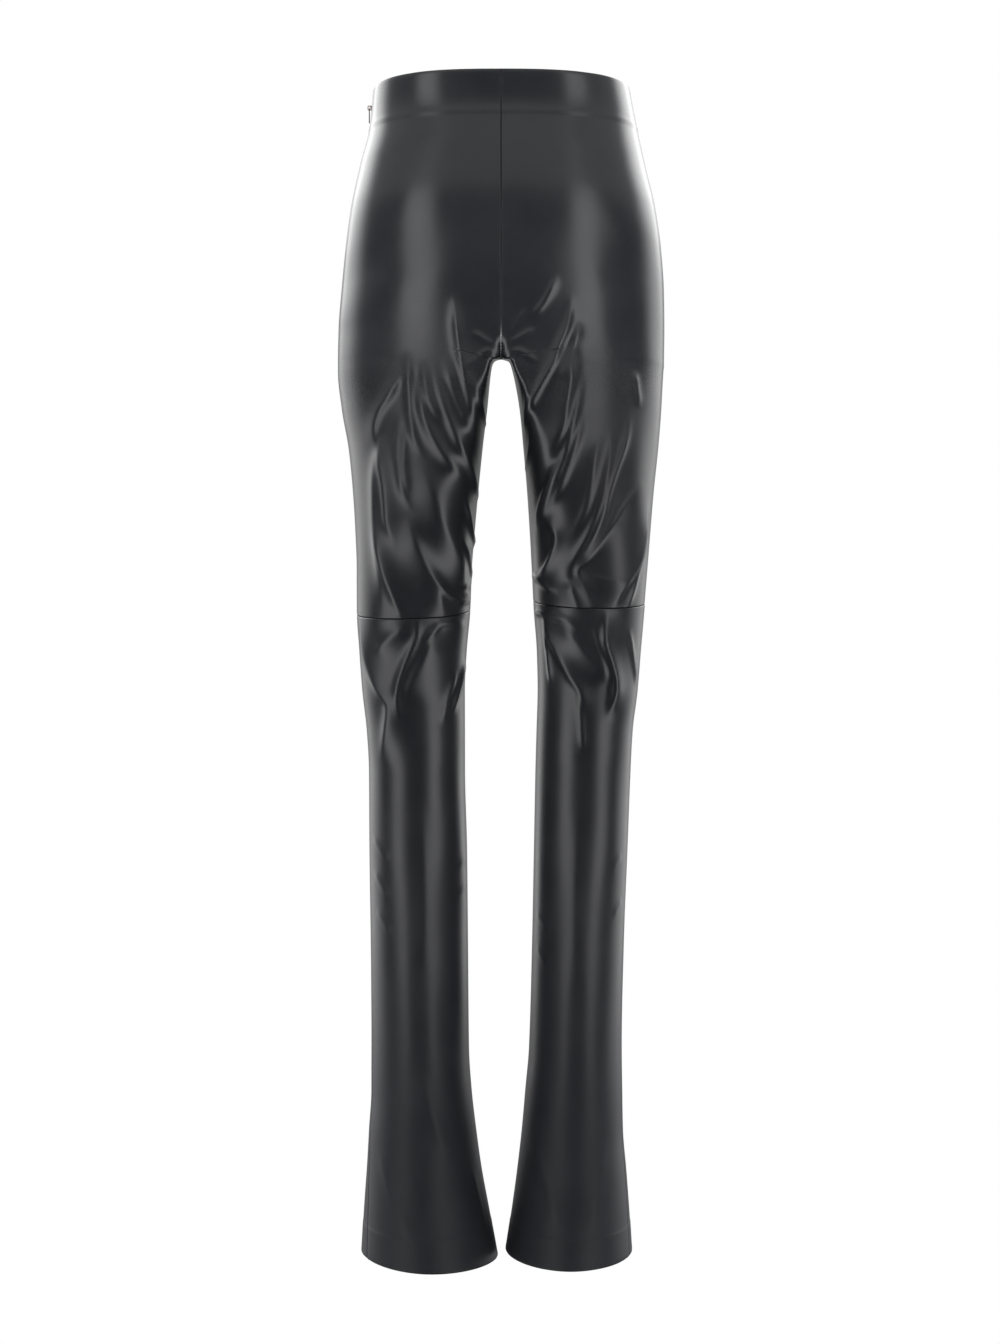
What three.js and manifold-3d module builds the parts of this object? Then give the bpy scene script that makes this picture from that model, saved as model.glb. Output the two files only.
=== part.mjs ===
// High-waisted flared leggings of coated cloth, filled out and hollow, with a concealed zip in the right
// side seam. Millimetres, +Z up. The origin is the middle of the waist opening. The front faces -Y and the
// wearer's right is -X.
import * as THREE from "three";
import { mergeVertices } from "three/addons/utils/BufferGeometryUtils.js";
import Module from "manifold-3d";

const wasm = await Module();
wasm.setup();

// ---- driving dimensions ----
const HEM = -1131; // height of the hems, with the waist at 0
const CROTCH = -262;
const CROTCH_Y = -28; // the four panels meet a little in front of the middle
// Where each centre seam starts to turn under, and how late and sharply it does so, 2 for an ellipse.
const RISE = { front: { top: -222, turn: 5 }, back: { top: -165, turn: 2.4 } };
const WALL = 1.2; // coated cloth
const GAP = 0.3; // clearance between pieces
const HEM_TURN = 28; // depth of the turned-up hem
const HEM_WALL = 2.2;
const HEM_SLOPE_TOP = -1010; // below this the rows lean towards the hem's slope
const HEM_SLOPE = { right: 6, left: 0 }; // how much lower each hem is at its inner edge
const FACING_WALL = 1;
const FACING_DEPTH = 38;
const TAPE_WALL = 1;
const TAPE_WIDTH = 12;
const ZIP_LENGTH = 185;
const ZIP_MOUTH = 1.4; // the side seam stands this far open by the slider
const ZIP_MOUTH_DEPTH = 20;
const ZIP_SIDE = "right";

// ---- the outline: one row for each height ----
// right, left: reach of each leg's outer side from the middle; rightIn, leftIn: reach of its inner side;
// front, back: depth each way from the middle plane; side: how far its widest point lies behind that plane.
const STATIONS = [
  { z: 0, right: 124.5, left: 125.5, rightIn: 0, leftIn: 0, front: 92, back: 88, side: 0 },
  { z: -33, right: 128, left: 132, rightIn: 0, leftIn: 0, front: 90, back: 91, side: 0 },
  { z: -72, right: 138, left: 141, rightIn: 0, leftIn: 0, front: 94, back: 97, side: 2 },
  { z: -112, right: 147, left: 151, rightIn: 0, leftIn: 0, front: 96, back: 106, side: 4 },
  { z: -151, right: 152.5, left: 157, rightIn: 0, leftIn: 0, front: 95, back: 114, side: 6 },
  { z: -190, right: 156.5, left: 160, rightIn: 0, leftIn: 0, front: 94, back: 118, side: 8 },
  { z: -229, right: 159.5, left: 160.5, rightIn: 0, leftIn: 0, front: 92, back: 115, side: 8 },
  { z: -262, right: 160, left: 160, rightIn: 0, leftIn: 0, front: 91, back: 106, side: 6 },
  { z: -264, right: 160, left: 160, rightIn: 6, leftIn: 7, front: 91, back: 105.5, side: 6 },
  { z: -270, right: 160, left: 159.5, rightIn: 9, leftIn: 10, front: 91, back: 105, side: 6 },
  { z: -308, right: 156, left: 157, rightIn: 13.5, leftIn: 18, front: 89, back: 95, side: 4 },
  { z: -347, right: 149, left: 153.5, rightIn: 18, leftIn: 22, front: 86, back: 87, side: 2 },
  { z: -386, right: 145, left: 149.5, rightIn: 22, leftIn: 25.5, front: 82, back: 79, side: 0 },
  { z: -425, right: 142.5, left: 146, rightIn: 25.5, leftIn: 28, front: 76, back: 71, side: -2 },
  { z: -464, right: 141, left: 143, rightIn: 28.5, leftIn: 30, front: 69, back: 63, side: -3 },
  { z: -504, right: 141, left: 140, rightIn: 30, leftIn: 32, front: 62, back: 57, side: -2 },
  { z: -543, right: 139, left: 137, rightIn: 33.5, leftIn: 35, front: 55, back: 58, side: 2 },
  { z: -582, right: 136.5, left: 134.5, rightIn: 35.5, leftIn: 36, front: 48, back: 63, side: 8 },
  { z: -621, right: 132.5, left: 130, rightIn: 35.5, leftIn: 35, front: 41, back: 69, side: 14 },
  { z: -660, right: 130.5, left: 128, rightIn: 35.5, leftIn: 34, front: 36, back: 72, side: 18 },
  { z: -739, right: 130, left: 125, rightIn: 33.5, leftIn: 32.5, front: 34, back: 74, side: 19 },
  { z: -837, right: 128.5, left: 121, rightIn: 32.5, leftIn: 30.5, front: 42, back: 76, side: 17 },
  { z: -935, right: 127.5, left: 119, rightIn: 31.5, leftIn: 27.5, front: 54, back: 77, side: 13 },
  { z: -974, right: 127.5, left: 119.5, rightIn: 29, leftIn: 24, front: 58, back: 77, side: 11 },
  { z: -1013, right: 130, left: 120, rightIn: 24.5, leftIn: 20.5, front: 61, back: 77.5, side: 9 },
  { z: -1052, right: 132, left: 123, rightIn: 19, leftIn: 16, front: 65, back: 79, side: 8 },
  { z: -1092, right: 134.5, left: 126, rightIn: 11.5, leftIn: 10.5, front: 69.5, back: 81, side: 7 },
  { z: -1140, right: 137.5, left: 129, rightIn: 2.5, leftIn: 3, front: 75, back: 84, side: 5 },
];

// How square the section's outer and inner quarter curves are, 2 for an ellipse, and how far out they meet
// at the front and back, as a share of the leg's reach.
const SQUARENESS = [
  { z: 0, outer: 2.7, inner: 2, front: 0, back: 0 },
  { z: -110, outer: 2.42, inner: 2, front: 0.015, back: 0.04 },
  { z: -190, outer: 2.14, inner: 2.4, front: 0.06, back: 0.19 },
  { z: -262, outer: 2.1, inner: 2.8, front: 0.072, back: 0.35 },
  { z: -308, outer: 2.1, inner: 2.9, front: 0.18, back: 0.44 },
  { z: -350, outer: 2.1, inner: 2.8, front: 0.32, back: 0.52 },
  { z: -400, outer: 2.1, inner: 2.6, front: 0.47, back: 0.575 },
  { z: -460, outer: 2.1, inner: 2.3, front: 0.57, back: 0.6 },
  { z: -540, outer: 2.08, inner: 2.1, front: 0.615, back: 0.62 },
  { z: -660, outer: 2.07, inner: 2.1, front: 0.64, back: 0.64 },
  { z: -1000, outer: 2.05, inner: 2.05, front: 0.595, back: 0.595 },
  { z: -1140, outer: 1.88, inner: 1.88, front: 0.51, back: 0.51 },
];

// How far each side seam lies in front of its leg's widest point.
const SEAM_SHIFT = [
  { z: 0, right: 0, left: 0 },
  { z: -130, right: 0, left: 0 },
  { z: -230, right: -5, left: -5 },
  { z: -400, right: -5, left: -5 },
  { z: -500, right: 0, left: -3 },
  { z: -600, right: 0, left: 0 },
  { z: -800, right: 7, left: 6 },
  { z: -935, right: 16, left: 15 },
  { z: -1140, right: 37, left: 28 },
];

// Height of each knee seam at the inner edge, at its lowest point and at the side seam.
const KNEE = {
  right: { inner: -503, low: -514, outer: -508 },
  left: { inner: -494, low: -504, outer: -497 },
};
const KNEE_FADE = 60; // the rows follow the seam's dip this far from it

// Largest folds: across runs from 0 at a panel's inner edge to 1 at its side seam.
const FOLD_EDGE = 12; // folds die away this near to a seam
const FOLDS = [
  { leg: "right", face: "front", across: [0.12, 0.05], z: [-225, -300], rise: 3, reach: 11 },
  { leg: "right", face: "front", across: [0.5, 0.22], z: [-255, -355], rise: 3, reach: 12 },
  { leg: "right", face: "front", across: [0.92, 0.7], z: [-300, -420], rise: 3.5, reach: 13 },
  { leg: "right", face: "front", across: [0.75, 0.45], z: [-475, -540], rise: 4, reach: 12 },
  { leg: "right", face: "front", across: [0.45, 0.66], z: [-535, -600], rise: 4, reach: 12 },
  { leg: "right", face: "front", across: [0.95, 0.75], z: [-530, -600], rise: 3, reach: 11 },
  { leg: "right", face: "front", across: [0.95, 0.7], z: [-745, -800], rise: 2.5, reach: 12 },
  { leg: "left", face: "front", across: [0.45, 0.1], z: [-215, -330], rise: 3.5, reach: 12 },
  { leg: "left", face: "front", across: [0.5, 0.28], z: [-330, -460], rise: 4, reach: 12 },
  { leg: "left", face: "front", across: [0.9, 0.5], z: [-330, -480], rise: 4, reach: 13 },
  { leg: "left", face: "front", across: [0.75, 0.8], z: [-525, -600], rise: 4, reach: 12 },
  { leg: "left", face: "front", across: [0.1, 0.45], z: [-500, -620], rise: 4, reach: 12 },
  { leg: "right", face: "back", across: [0.08, 0.5], z: [-255, -240], rise: 3, reach: 13 },
  { leg: "right", face: "back", across: [0.1, 0.75], z: [-500, -530], rise: 4, reach: 12 },
  { leg: "right", face: "back", across: [0.15, 0.9], z: [-540, -500], rise: 3.5, reach: 12 },
  { leg: "left", face: "back", across: [0.06, 0.45], z: [-252, -246], rise: 3, reach: 13 },
  { leg: "left", face: "back", across: [0.2, 0.85], z: [-495, -520], rise: 4, reach: 12 },
  { leg: "left", face: "back", across: [0.1, 0.8], z: [-545, -510], rise: 3.5, reach: 12 },
];

// ---- the form ----
const ARC_STEPS = 24; // points along each quarter curve of a section
const FORK_BLEND = 150; // below the crotch, the height over which each leg takes its own middle

const clamp = (value) => Math.min(1, Math.max(0, value));
const smooth = (value) => clamp(value) ** 2 * (3 - 2 * clamp(value));
const mix = (a, b, share) => a + (b - a) * share;
const quarter = (i) => (i / ARC_STEPS) * (Math.PI / 2);
const MIRROR = { right: new THREE.Vector3(-1, 1, 1), left: new THREE.Vector3(1, 1, 1) };
const NORMAL_STEP = 2; // reach each way when a section's direction is measured

// Value of a table's column at a height, as a monotone cubic through its rows.
function column(table, name, z) {
  const last = table.length - 1;
  let i = 0;
  while (i < last - 1 && z < table[i + 1].z) i += 1;
  const slope = (k) => (table[k + 1][name] - table[k][name]) / (table[k + 1].z - table[k].z);
  const tangent = (k) => {
    if (k === 0 || k === last) return slope(Math.min(k, last - 1));
    const [before, after] = [slope(k - 1), slope(k)];
    return before * after > 0 ? (2 * before * after) / (before + after) : 0;
  };
  const step = table[i + 1].z - table[i].z;
  const t = clamp((z - table[i].z) / step);
  const ends = mix(table[i][name], table[i + 1][name], smooth(t));
  return ends + step * (t * (1 - t) ** 2 * tangent(i) - t ** 2 * (1 - t) * tangent(i + 1));
}

// The front or back half of one leg's section, from its inner edge to its widest point.
// Above the crotch the inner edge is the centre seam, which turns under.
function halfSection(leg, face, z) {
  const { top, turn } = RISE[face];
  const under = clamp((top - z) / (top - CROTCH)); // 0 where the rise starts to turn under, 1 at the crotch
  const reach = column(STATIONS, leg, z);
  const faceY = (face === "front" ? -1 : 1) * column(STATIONS, face, z);
  const sideY = column(STATIONS, "side", z);
  const outer = 2 / column(SQUARENESS, "outer", z);
  const inner = 2 / column(SQUARENESS, "inner", z);
  const edgeX = Math.max(GAP / 2, column(STATIONS, leg + "In", z));
  const riseY = mix(faceY, CROTCH_Y, 1 - (1 - under ** turn) ** (1 / turn));
  const edgeY = z > CROTCH ? riseY : mix(CROTCH_Y, sideY, smooth((CROTCH - z) / FORK_BLEND));
  const crownX = Math.max(edgeX, reach * column(SQUARENESS, face, z));
  const points = [];
  for (let i = 0; i < ARC_STEPS; i += 1) {
    const [c, s] = [Math.cos(quarter(i)), Math.sin(quarter(i))];
    const dip = mix(c ** (2 * inner), 1 - s ** inner, under ** 2);
    points.push([mix(edgeX, crownX, 1 - c ** inner), mix(faceY, edgeY, dip)]);
  }
  for (let i = 0; i <= ARC_STEPS; i += 1) {
    const [c, s] = [Math.max(0, Math.cos(quarter(i))), Math.sin(quarter(i))];
    points.push([mix(crownX, reach, s ** outer), mix(sideY, faceY, c ** outer)]);
  }
  return points;
}

// One leg's section: its outline from the front inner edge round to the back one, and the distance along it
// at which the side seam lies.
function section(leg, z) {
  const front = halfSection(leg, "front", z);
  const outline = [...front, ...halfSection(leg, "back", z).reverse().slice(1)];
  const lengths = [0];
  for (let i = 1; i < outline.length; i += 1) {
    const [[ax, ay], [bx, by]] = [outline[i - 1], outline[i]];
    lengths.push(lengths[i - 1] + Math.hypot(bx - ax, by - ay));
  }
  return { outline, lengths, seam: lengths[front.length - 1] - column(SEAM_SHIFT, leg, z) };
}

function pointAlong({ outline, lengths }, distance) {
  let i = 1;
  while (i < lengths.length - 1 && lengths[i] < distance) i += 1;
  const share = (distance - lengths[i - 1]) / (lengths[i] - lengths[i - 1] || 1);
  const [[ax, ay], [bx, by]] = [outline[i - 1], outline[i]];
  return [mix(ax, bx, share), mix(ay, by, share)];
}

// Height of the knee seam across a panel.
function kneeSeam(leg, across) {
  const { inner, low, outer } = KNEE[leg];
  return mix(inner, outer, across) - (mix(inner, outer, 0.5) - low) * Math.sin(Math.PI * across);
}

// Height of a row across a panel. Near the fork its inner and outer ends are apart, near the knee seam it
// follows the seam, and near the hem it follows the hem's slope.
function rowHeight(leg, { inner, outer }, across) {
  const level = mix(inner, outer, smooth(across * 2));
  const nearKnee = clamp(1 - Math.abs(level - KNEE[leg].low) / KNEE_FADE);
  const nearHem = clamp((HEM_SLOPE_TOP - level) / (HEM_SLOPE_TOP - HEM));
  const dip = (kneeSeam(leg, across) - KNEE[leg].low) * nearKnee;
  return level + dip - HEM_SLOPE[leg] * (1 - across) * nearHem;
}

// Half the clearance at a side seam, which stands open at the top of the zip.
function sideTrim(leg, z) {
  if (leg !== ZIP_SIDE) return GAP / 2;
  return mix(ZIP_MOUTH, GAP, smooth((-z - ZIP_MOUTH_DEPTH) / ZIP_MOUTH_DEPTH)) / 2;
}

// Height of the folds at a place on a panel, none at its edges.
function foldHeight(leg, face, { across, z, width }) {
  let height = 0;
  for (const fold of FOLDS.filter((each) => each.leg === leg && each.face === face)) {
    const run = [(fold.across[1] - fold.across[0]) * width, fold.z[1] - fold.z[0]];
    const here = [(across - fold.across[0]) * width, z - fold.z[0]];
    const share = clamp((here[0] * run[0] + here[1] * run[1]) / (run[0] ** 2 + run[1] ** 2));
    const away = Math.hypot(here[0] - share * run[0], here[1] - share * run[1]);
    height += fold.rise * (0.3 + 0.7 * Math.sin(Math.PI * share)) * Math.exp(-((away / fold.reach) ** 2));
  }
  return height * smooth((across * width) / FOLD_EDGE) * smooth(((1 - across) * width) / FOLD_EDGE);
}

// A place on a panel before its folds: its height, its point and its outward normal.
function panelPlace(leg, face, level, across) {
  const z = rowHeight(leg, level, across);
  const ring = section(leg, z);
  const total = ring.lengths.at(-1);
  const inner = z <= CROTCH ? GAP / 2 : 0;
  const front = mix(inner, ring.seam - sideTrim(leg, z), across);
  const back = mix(total - inner, ring.seam + sideTrim(leg, z), across);
  const along = face === "front" ? front : back;
  const at = (loop, distance, height) =>
    new THREE.Vector3(...pointAlong(loop, distance), height).multiply(MIRROR[leg]);
  const nearby = (rise) => {
    const loop = section(leg, z + rise);
    return at(loop, loop.seam + along - ring.seam, z + rise);
  };
  const around = at(ring, along + NORMAL_STEP, z).sub(at(ring, along - NORMAL_STEP, z));
  const down = nearby(-NORMAL_STEP).sub(nearby(NORMAL_STEP));
  const normal = around.cross(down).multiplyScalar(-MIRROR[leg].x).normalize();
  const width = face === "front" ? ring.seam : total - ring.seam;
  return { across, z, width, point: at(ring, along, z), normal };
}

// A panel's grid: its outside points, row by row from the top, and their outward normals.
function panelGrid(leg, face, levels, columns) {
  const places = levels.map((level) =>
    Array.from({ length: columns + 1 }, (_, i) => panelPlace(leg, face, level, i / columns)));
  return {
    points: places.map((row) => row.map((place) =>
      place.point.clone().addScaledVector(place.normal, foldHeight(leg, face, place)))),
    normals: places.map((row) => row.map((place) => place.normal)),
    turn: MIRROR[leg].x * (face === "front" ? 1 : -1),
  };
}

// ---- solids ----
// A grid turned into a wall: its outside points moved in by depth, and its thickness by row.
function wallGeometry({ points, normals, turn }, depth, wallAt) {
  const [rows, columns] = [points.length, points[0].length];
  const vertices = [];
  for (const deep of [false, true])
    for (let r = 0; r < rows; r += 1)
      for (let c = 0; c < columns; c += 1) {
        const inset = depth + (deep ? wallAt(r) : 0);
        vertices.push(...points[r][c].clone().addScaledVector(normals[r][c], -inset).toArray());
      }
  const outside = (r, c) => r * columns + c;
  const inside = (r, c) => rows * columns + outside(r, c);
  const faces = [];
  const quad = (a, b, c, d) => faces.push(...(turn > 0 ? [a, b, c, a, c, d] : [a, c, b, a, d, c]));
  for (let r = 0; r < rows - 1; r += 1)
    for (let c = 0; c < columns - 1; c += 1) {
      quad(outside(r, c), outside(r + 1, c), outside(r + 1, c + 1), outside(r, c + 1));
      quad(inside(r, c), inside(r, c + 1), inside(r + 1, c + 1), inside(r + 1, c));
    }
  const [foot, side] = [rows - 1, columns - 1];
  for (let r = 0; r < foot; r += 1) {
    quad(outside(r, 0), inside(r, 0), inside(r + 1, 0), outside(r + 1, 0));
    quad(outside(r, side), outside(r + 1, side), inside(r + 1, side), inside(r, side));
  }
  for (let c = 0; c < side; c += 1) {
    quad(outside(0, c), outside(0, c + 1), inside(0, c + 1), inside(0, c));
    quad(outside(foot, c), inside(foot, c), inside(foot, c + 1), outside(foot, c + 1));
  }
  const geometry = new THREE.BufferGeometry();
  geometry.setAttribute("position", new THREE.Float32BufferAttribute(vertices, 3));
  geometry.setIndex(faces);
  return geometry;
}

// Evenly spaced heights from one to another, both included.
function evenly(from, to, steps) {
  return Array.from({ length: steps + 1 }, (_, i) => mix(from, to, i / steps));
}

// A row's heights at its inner and outer ends.
const level = (inner, outer = inner) => ({ inner, outer });
const FORK_END = CROTCH - 32;
const RISE_ROWS = 6; // rows of the turning rise, closer together towards the crotch
const riseHeights = evenly(1 / RISE_ROWS, 1, RISE_ROWS - 1).map((share) =>
  mix(RISE.front.top, CROTCH, Math.sin((share * Math.PI) / 2)));
const forkHeights = [...riseHeights, CROTCH - 2, CROTCH - 8, CROTCH - 18];
const FORK = forkHeights.map((inner, i) =>
  level(inner, mix(RISE.front.top, FORK_END, (i + 1) / (forkHeights.length + 1))));
const topHeights = [...evenly(0, -FACING_DEPTH, 2), ...evenly(-54, RISE.front.top, 6)];
const TOP = topHeights.map((height) => level(height));
const UPPER_STEPS = 14; // rows from the fork to the knee
const LOWER_STEPS = 20; // rows from the knee to the turned-up hem
const COLUMNS = { front: 10, back: 8 };
const FACES = Object.keys(COLUMNS);

function upperLevels(leg) {
  return [...TOP, ...FORK, ...evenly(FORK_END, KNEE[leg].low, UPPER_STEPS).map((height) => level(height))];
}

function lowerLevels(leg) {
  const heights = [...evenly(KNEE[leg].low, HEM + HEM_TURN + 2, LOWER_STEPS), HEM + HEM_TURN, HEM];
  return heights.map((height) => level(height));
}

const CLOTH = { color: 0x17181b, roughness: 0.3, metalness: 0 };
const TAPE = { color: 0x141416, roughness: 0.8, metalness: 0 };
const METAL = { color: 0x2c2a2b, roughness: 0.35, metalness: 0.9 };

const leggings = new THREE.Group();

function addMesh(name, geometry, finish, group = leggings) {
  const mesh = new THREE.Mesh(geometry, new THREE.MeshStandardMaterial(finish));
  mesh.name = name;
  group.add(mesh);
  return mesh;
}

// ---- cloth panels ----
const uppers = {};
for (const leg of ["right", "left"])
  for (const face of FACES) {
    const top = panelGrid(leg, face, upperLevels(leg), COLUMNS[face]);
    trimKnee(top, -GAP / 2);
    uppers[`${face}_${leg}`] = top;
    addMesh(`${face}_${leg}_upper`, wallGeometry(top, 0, () => WALL), CLOTH);
    const levels = lowerLevels(leg);
    const bottom = panelGrid(leg, face, levels, COLUMNS[face]);
    trimKnee(bottom, GAP / 2);
    const hemWall = (r) => (levels[r].inner <= HEM + HEM_TURN ? HEM_WALL : WALL);
    addMesh(`${face}_${leg}_lower`, wallGeometry(bottom, 0, hemWall), CLOTH);
  }

// Moves a panel's knee edge off the seam, up for a negative step and down for a positive one.
function trimKnee({ points }, step) {
  const row = step < 0 ? points.at(-1) : points[0];
  const next = step < 0 ? points.at(-2) : points[1];
  row.forEach((point, c) => point.lerp(next[c], Math.abs(step) / point.distanceTo(next[c])));
}

// ---- waist facing, inside the top edge, open at the zip ----
const INSET = WALL + GAP;

// A part of a panel's grid: its rows up to one height, and the named columns in order.
function gridPart({ points, normals, turn }, lowest, first, last) {
  const rows = points.filter((row) => row[0].z >= lowest - 0.5).length;
  const cut = (grid) => grid.slice(0, rows).map((row) => row.slice(first, last));
  return { points: cut(points), normals: cut(normals), turn };
}

for (const face of FACES) {
  const zipped = gridPart(uppers[`${face}_${ZIP_SIDE}`], -FACING_DEPTH, 0, COLUMNS[face]);
  const plain = gridPart(uppers[`${face}_left`], -FACING_DEPTH, 0, COLUMNS[face] + 1);
  const join = (name) => plain[name].map((row, r) => [...[...row].reverse(), ...zipped[name][r]]);
  const ring = { points: join("points"), normals: join("normals"), turn: zipped.turn };
  addMesh(`waist_facing_${face}`, wallGeometry(ring, INSET, () => FACING_WALL), CLOTH);
}

// ---- zip tapes, inside the side seam ----
for (const face of FACES) {
  const { points, normals, turn } = gridPart(uppers[`${face}_${ZIP_SIDE}`], -ZIP_LENGTH, -2, undefined);
  const narrow = (grid, share) => grid.map(([inner, edge], r) => [edge.clone().lerp(inner, share(r)), edge]);
  const share = (r) => TAPE_WIDTH / points[r][0].distanceTo(points[r][1]);
  const tape = { points: narrow(points, share), normals: narrow(normals, share), turn };
  addMesh(`zip_tape_${face}`, wallGeometry(tape, INSET, () => TAPE_WALL), TAPE);
}

// ---- zip slider and pull ----
const PIVOT = new THREE.Vector3(-129, 0, -12); // the pull's bar, inside the slider's bridge
const PLATE = 0.8; // the bridge's thickness
const BRIDGE = { out: -1.8, in: 6.8, rise: 2.4, eyeOut: -1, eyeIn: 1.1, eyeRise: 1.6, corner: 0.9 };
const BODY = { in: 6.9, wall: 2.8, width: 5.2, height: 10 };
const PULL = { wall: 0.9, bar: 0.45, eyeDrop: 3.2, eyeHalf: 0.8, halfTop: 1.6, halfEnd: 1.9, length: 15 };

function roundedRectangle(left, right, bottom, top, corner) {
  const shape = new THREE.Shape();
  shape.moveTo(left + corner, bottom);
  shape.lineTo(right, bottom);
  shape.lineTo(right, top);
  shape.lineTo(left + corner, top);
  shape.quadraticCurveTo(left, top, left, top - corner);
  shape.lineTo(left, bottom + corner);
  shape.quadraticCurveTo(left, bottom, left + corner, bottom);
  return shape;
}

function solidOf(geometry) {
  geometry.deleteAttribute("normal");
  geometry.deleteAttribute("uv");
  const merged = mergeVertices(geometry);
  const vertProperties = new Float32Array(merged.attributes.position.array);
  const triVerts = new Uint32Array(merged.index.array);
  return new wasm.Manifold(new wasm.Mesh({ numProp: 3, vertProperties, triVerts }));
}

function geometryOf(solid) {
  const { vertProperties, triVerts } = solid.getMesh();
  const geometry = new THREE.BufferGeometry();
  geometry.setAttribute("position", new THREE.Float32BufferAttribute(vertProperties, 3));
  geometry.setIndex([...triVerts]);
  return geometry;
}

const zip = new THREE.Group();
zip.position.copy(PIVOT);
leggings.add(zip);

// The bridge and web are one plate through the seam, and the slider's body is behind the tapes.
const plate = roundedRectangle(BRIDGE.out, BRIDGE.in + 1, -BRIDGE.rise, BRIDGE.rise, BRIDGE.corner);
const eye = roundedRectangle(BRIDGE.eyeOut, BRIDGE.eyeIn, -BRIDGE.eyeRise, BRIDGE.eyeRise, BRIDGE.corner / 2);
plate.holes.push(eye);
const bridge = new THREE.ExtrudeGeometry(plate, { depth: PLATE, bevelEnabled: false, curveSegments: 3 });
bridge.translate(0, 0, -PLATE / 2);
bridge.rotateX(Math.PI / 2);
const body = new THREE.BoxGeometry(BODY.wall, BODY.width, BODY.height);
body.translate(BODY.in + BODY.wall / 2, 0, 0);
addMesh("zip_slider", geometryOf(solidOf(bridge).add(solidOf(body))), METAL, zip);

// The pull is a flat tab whose eye hangs round the bridge.
const tab = new THREE.Shape();
tab.moveTo(-PULL.halfTop, PULL.bar);
tab.lineTo(-PULL.halfEnd, -PULL.length + PULL.halfEnd);
tab.absarc(0, -PULL.length + PULL.halfEnd, PULL.halfEnd, Math.PI, Math.PI * 2, false);
tab.lineTo(PULL.halfTop, PULL.bar);
const slot = new THREE.Path();
slot.moveTo(-PULL.eyeHalf, -PULL.bar);
slot.lineTo(-PULL.eyeHalf, -PULL.eyeDrop);
slot.lineTo(PULL.eyeHalf, -PULL.eyeDrop);
slot.lineTo(PULL.eyeHalf, -PULL.bar);
tab.holes.push(slot);
const pull = new THREE.ExtrudeGeometry(tab, { depth: PULL.wall, bevelEnabled: false, curveSegments: 8 });
pull.translate(0, 0, -PULL.wall / 2);
pull.rotateX(Math.PI / 2);
pull.rotateZ(Math.PI / 2);
addMesh("zip_pull", geometryOf(solidOf(pull)), METAL, zip);

export default leggings;
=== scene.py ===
"""High-waisted flared leggings in a glossy coated cloth, filled out as they are when worn."""
import math

import bmesh
import bpy
import numpy as np
from mathutils import Matrix, Vector


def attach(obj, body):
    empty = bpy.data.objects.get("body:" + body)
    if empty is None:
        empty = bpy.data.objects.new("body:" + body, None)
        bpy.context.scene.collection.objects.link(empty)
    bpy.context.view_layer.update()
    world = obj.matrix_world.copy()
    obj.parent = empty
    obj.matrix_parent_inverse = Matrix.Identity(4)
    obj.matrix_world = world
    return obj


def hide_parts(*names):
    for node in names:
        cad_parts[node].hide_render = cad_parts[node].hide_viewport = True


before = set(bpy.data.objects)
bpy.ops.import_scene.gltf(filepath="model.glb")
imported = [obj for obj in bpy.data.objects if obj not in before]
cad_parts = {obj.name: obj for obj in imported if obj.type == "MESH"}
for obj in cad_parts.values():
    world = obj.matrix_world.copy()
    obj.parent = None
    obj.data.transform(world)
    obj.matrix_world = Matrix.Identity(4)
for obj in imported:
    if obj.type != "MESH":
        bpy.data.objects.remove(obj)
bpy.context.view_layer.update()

scene = bpy.context.scene
scene.view_settings.view_transform = "Standard"


# ---- Camera ----
# A short telephoto two metres in front of the garment, level with its knees and looking straight at it.
CAMERA_PLACE = (-0.001, -2.03, -0.5645)
CAMERA_LENS = 55.5

camera = bpy.data.objects.new("camera", bpy.data.cameras.new("camera"))
camera.data.lens = CAMERA_LENS
camera.data.sensor_width = 36
camera.location = CAMERA_PLACE
camera.rotation_euler = (math.radians(90), 0, 0)
scene.collection.objects.link(camera)
scene.camera = camera


# ---- Studio ----
# A dark room with a tall strip light at each front corner, a broad light at each rear one, a soft dim
# ceiling, and a plain white floor and ground. The strips give the cloth its long upright highlights.
class Wire:
    """An output of a node, on which sums are written as they are on numbers."""

    def __init__(self, shop, socket):
        self.shop = shop
        self.socket = socket

    def __add__(self, other):
        return self.shop.sum("ADD", self, other)

    def __sub__(self, other):
        return self.shop.sum("SUBTRACT", self, other)

    def __rsub__(self, other):
        return self.shop.sum("SUBTRACT", other, self)

    def __mul__(self, other):
        return self.shop.sum("MULTIPLY", self, other)

    __radd__ = __add__
    __rmul__ = __mul__


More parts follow.
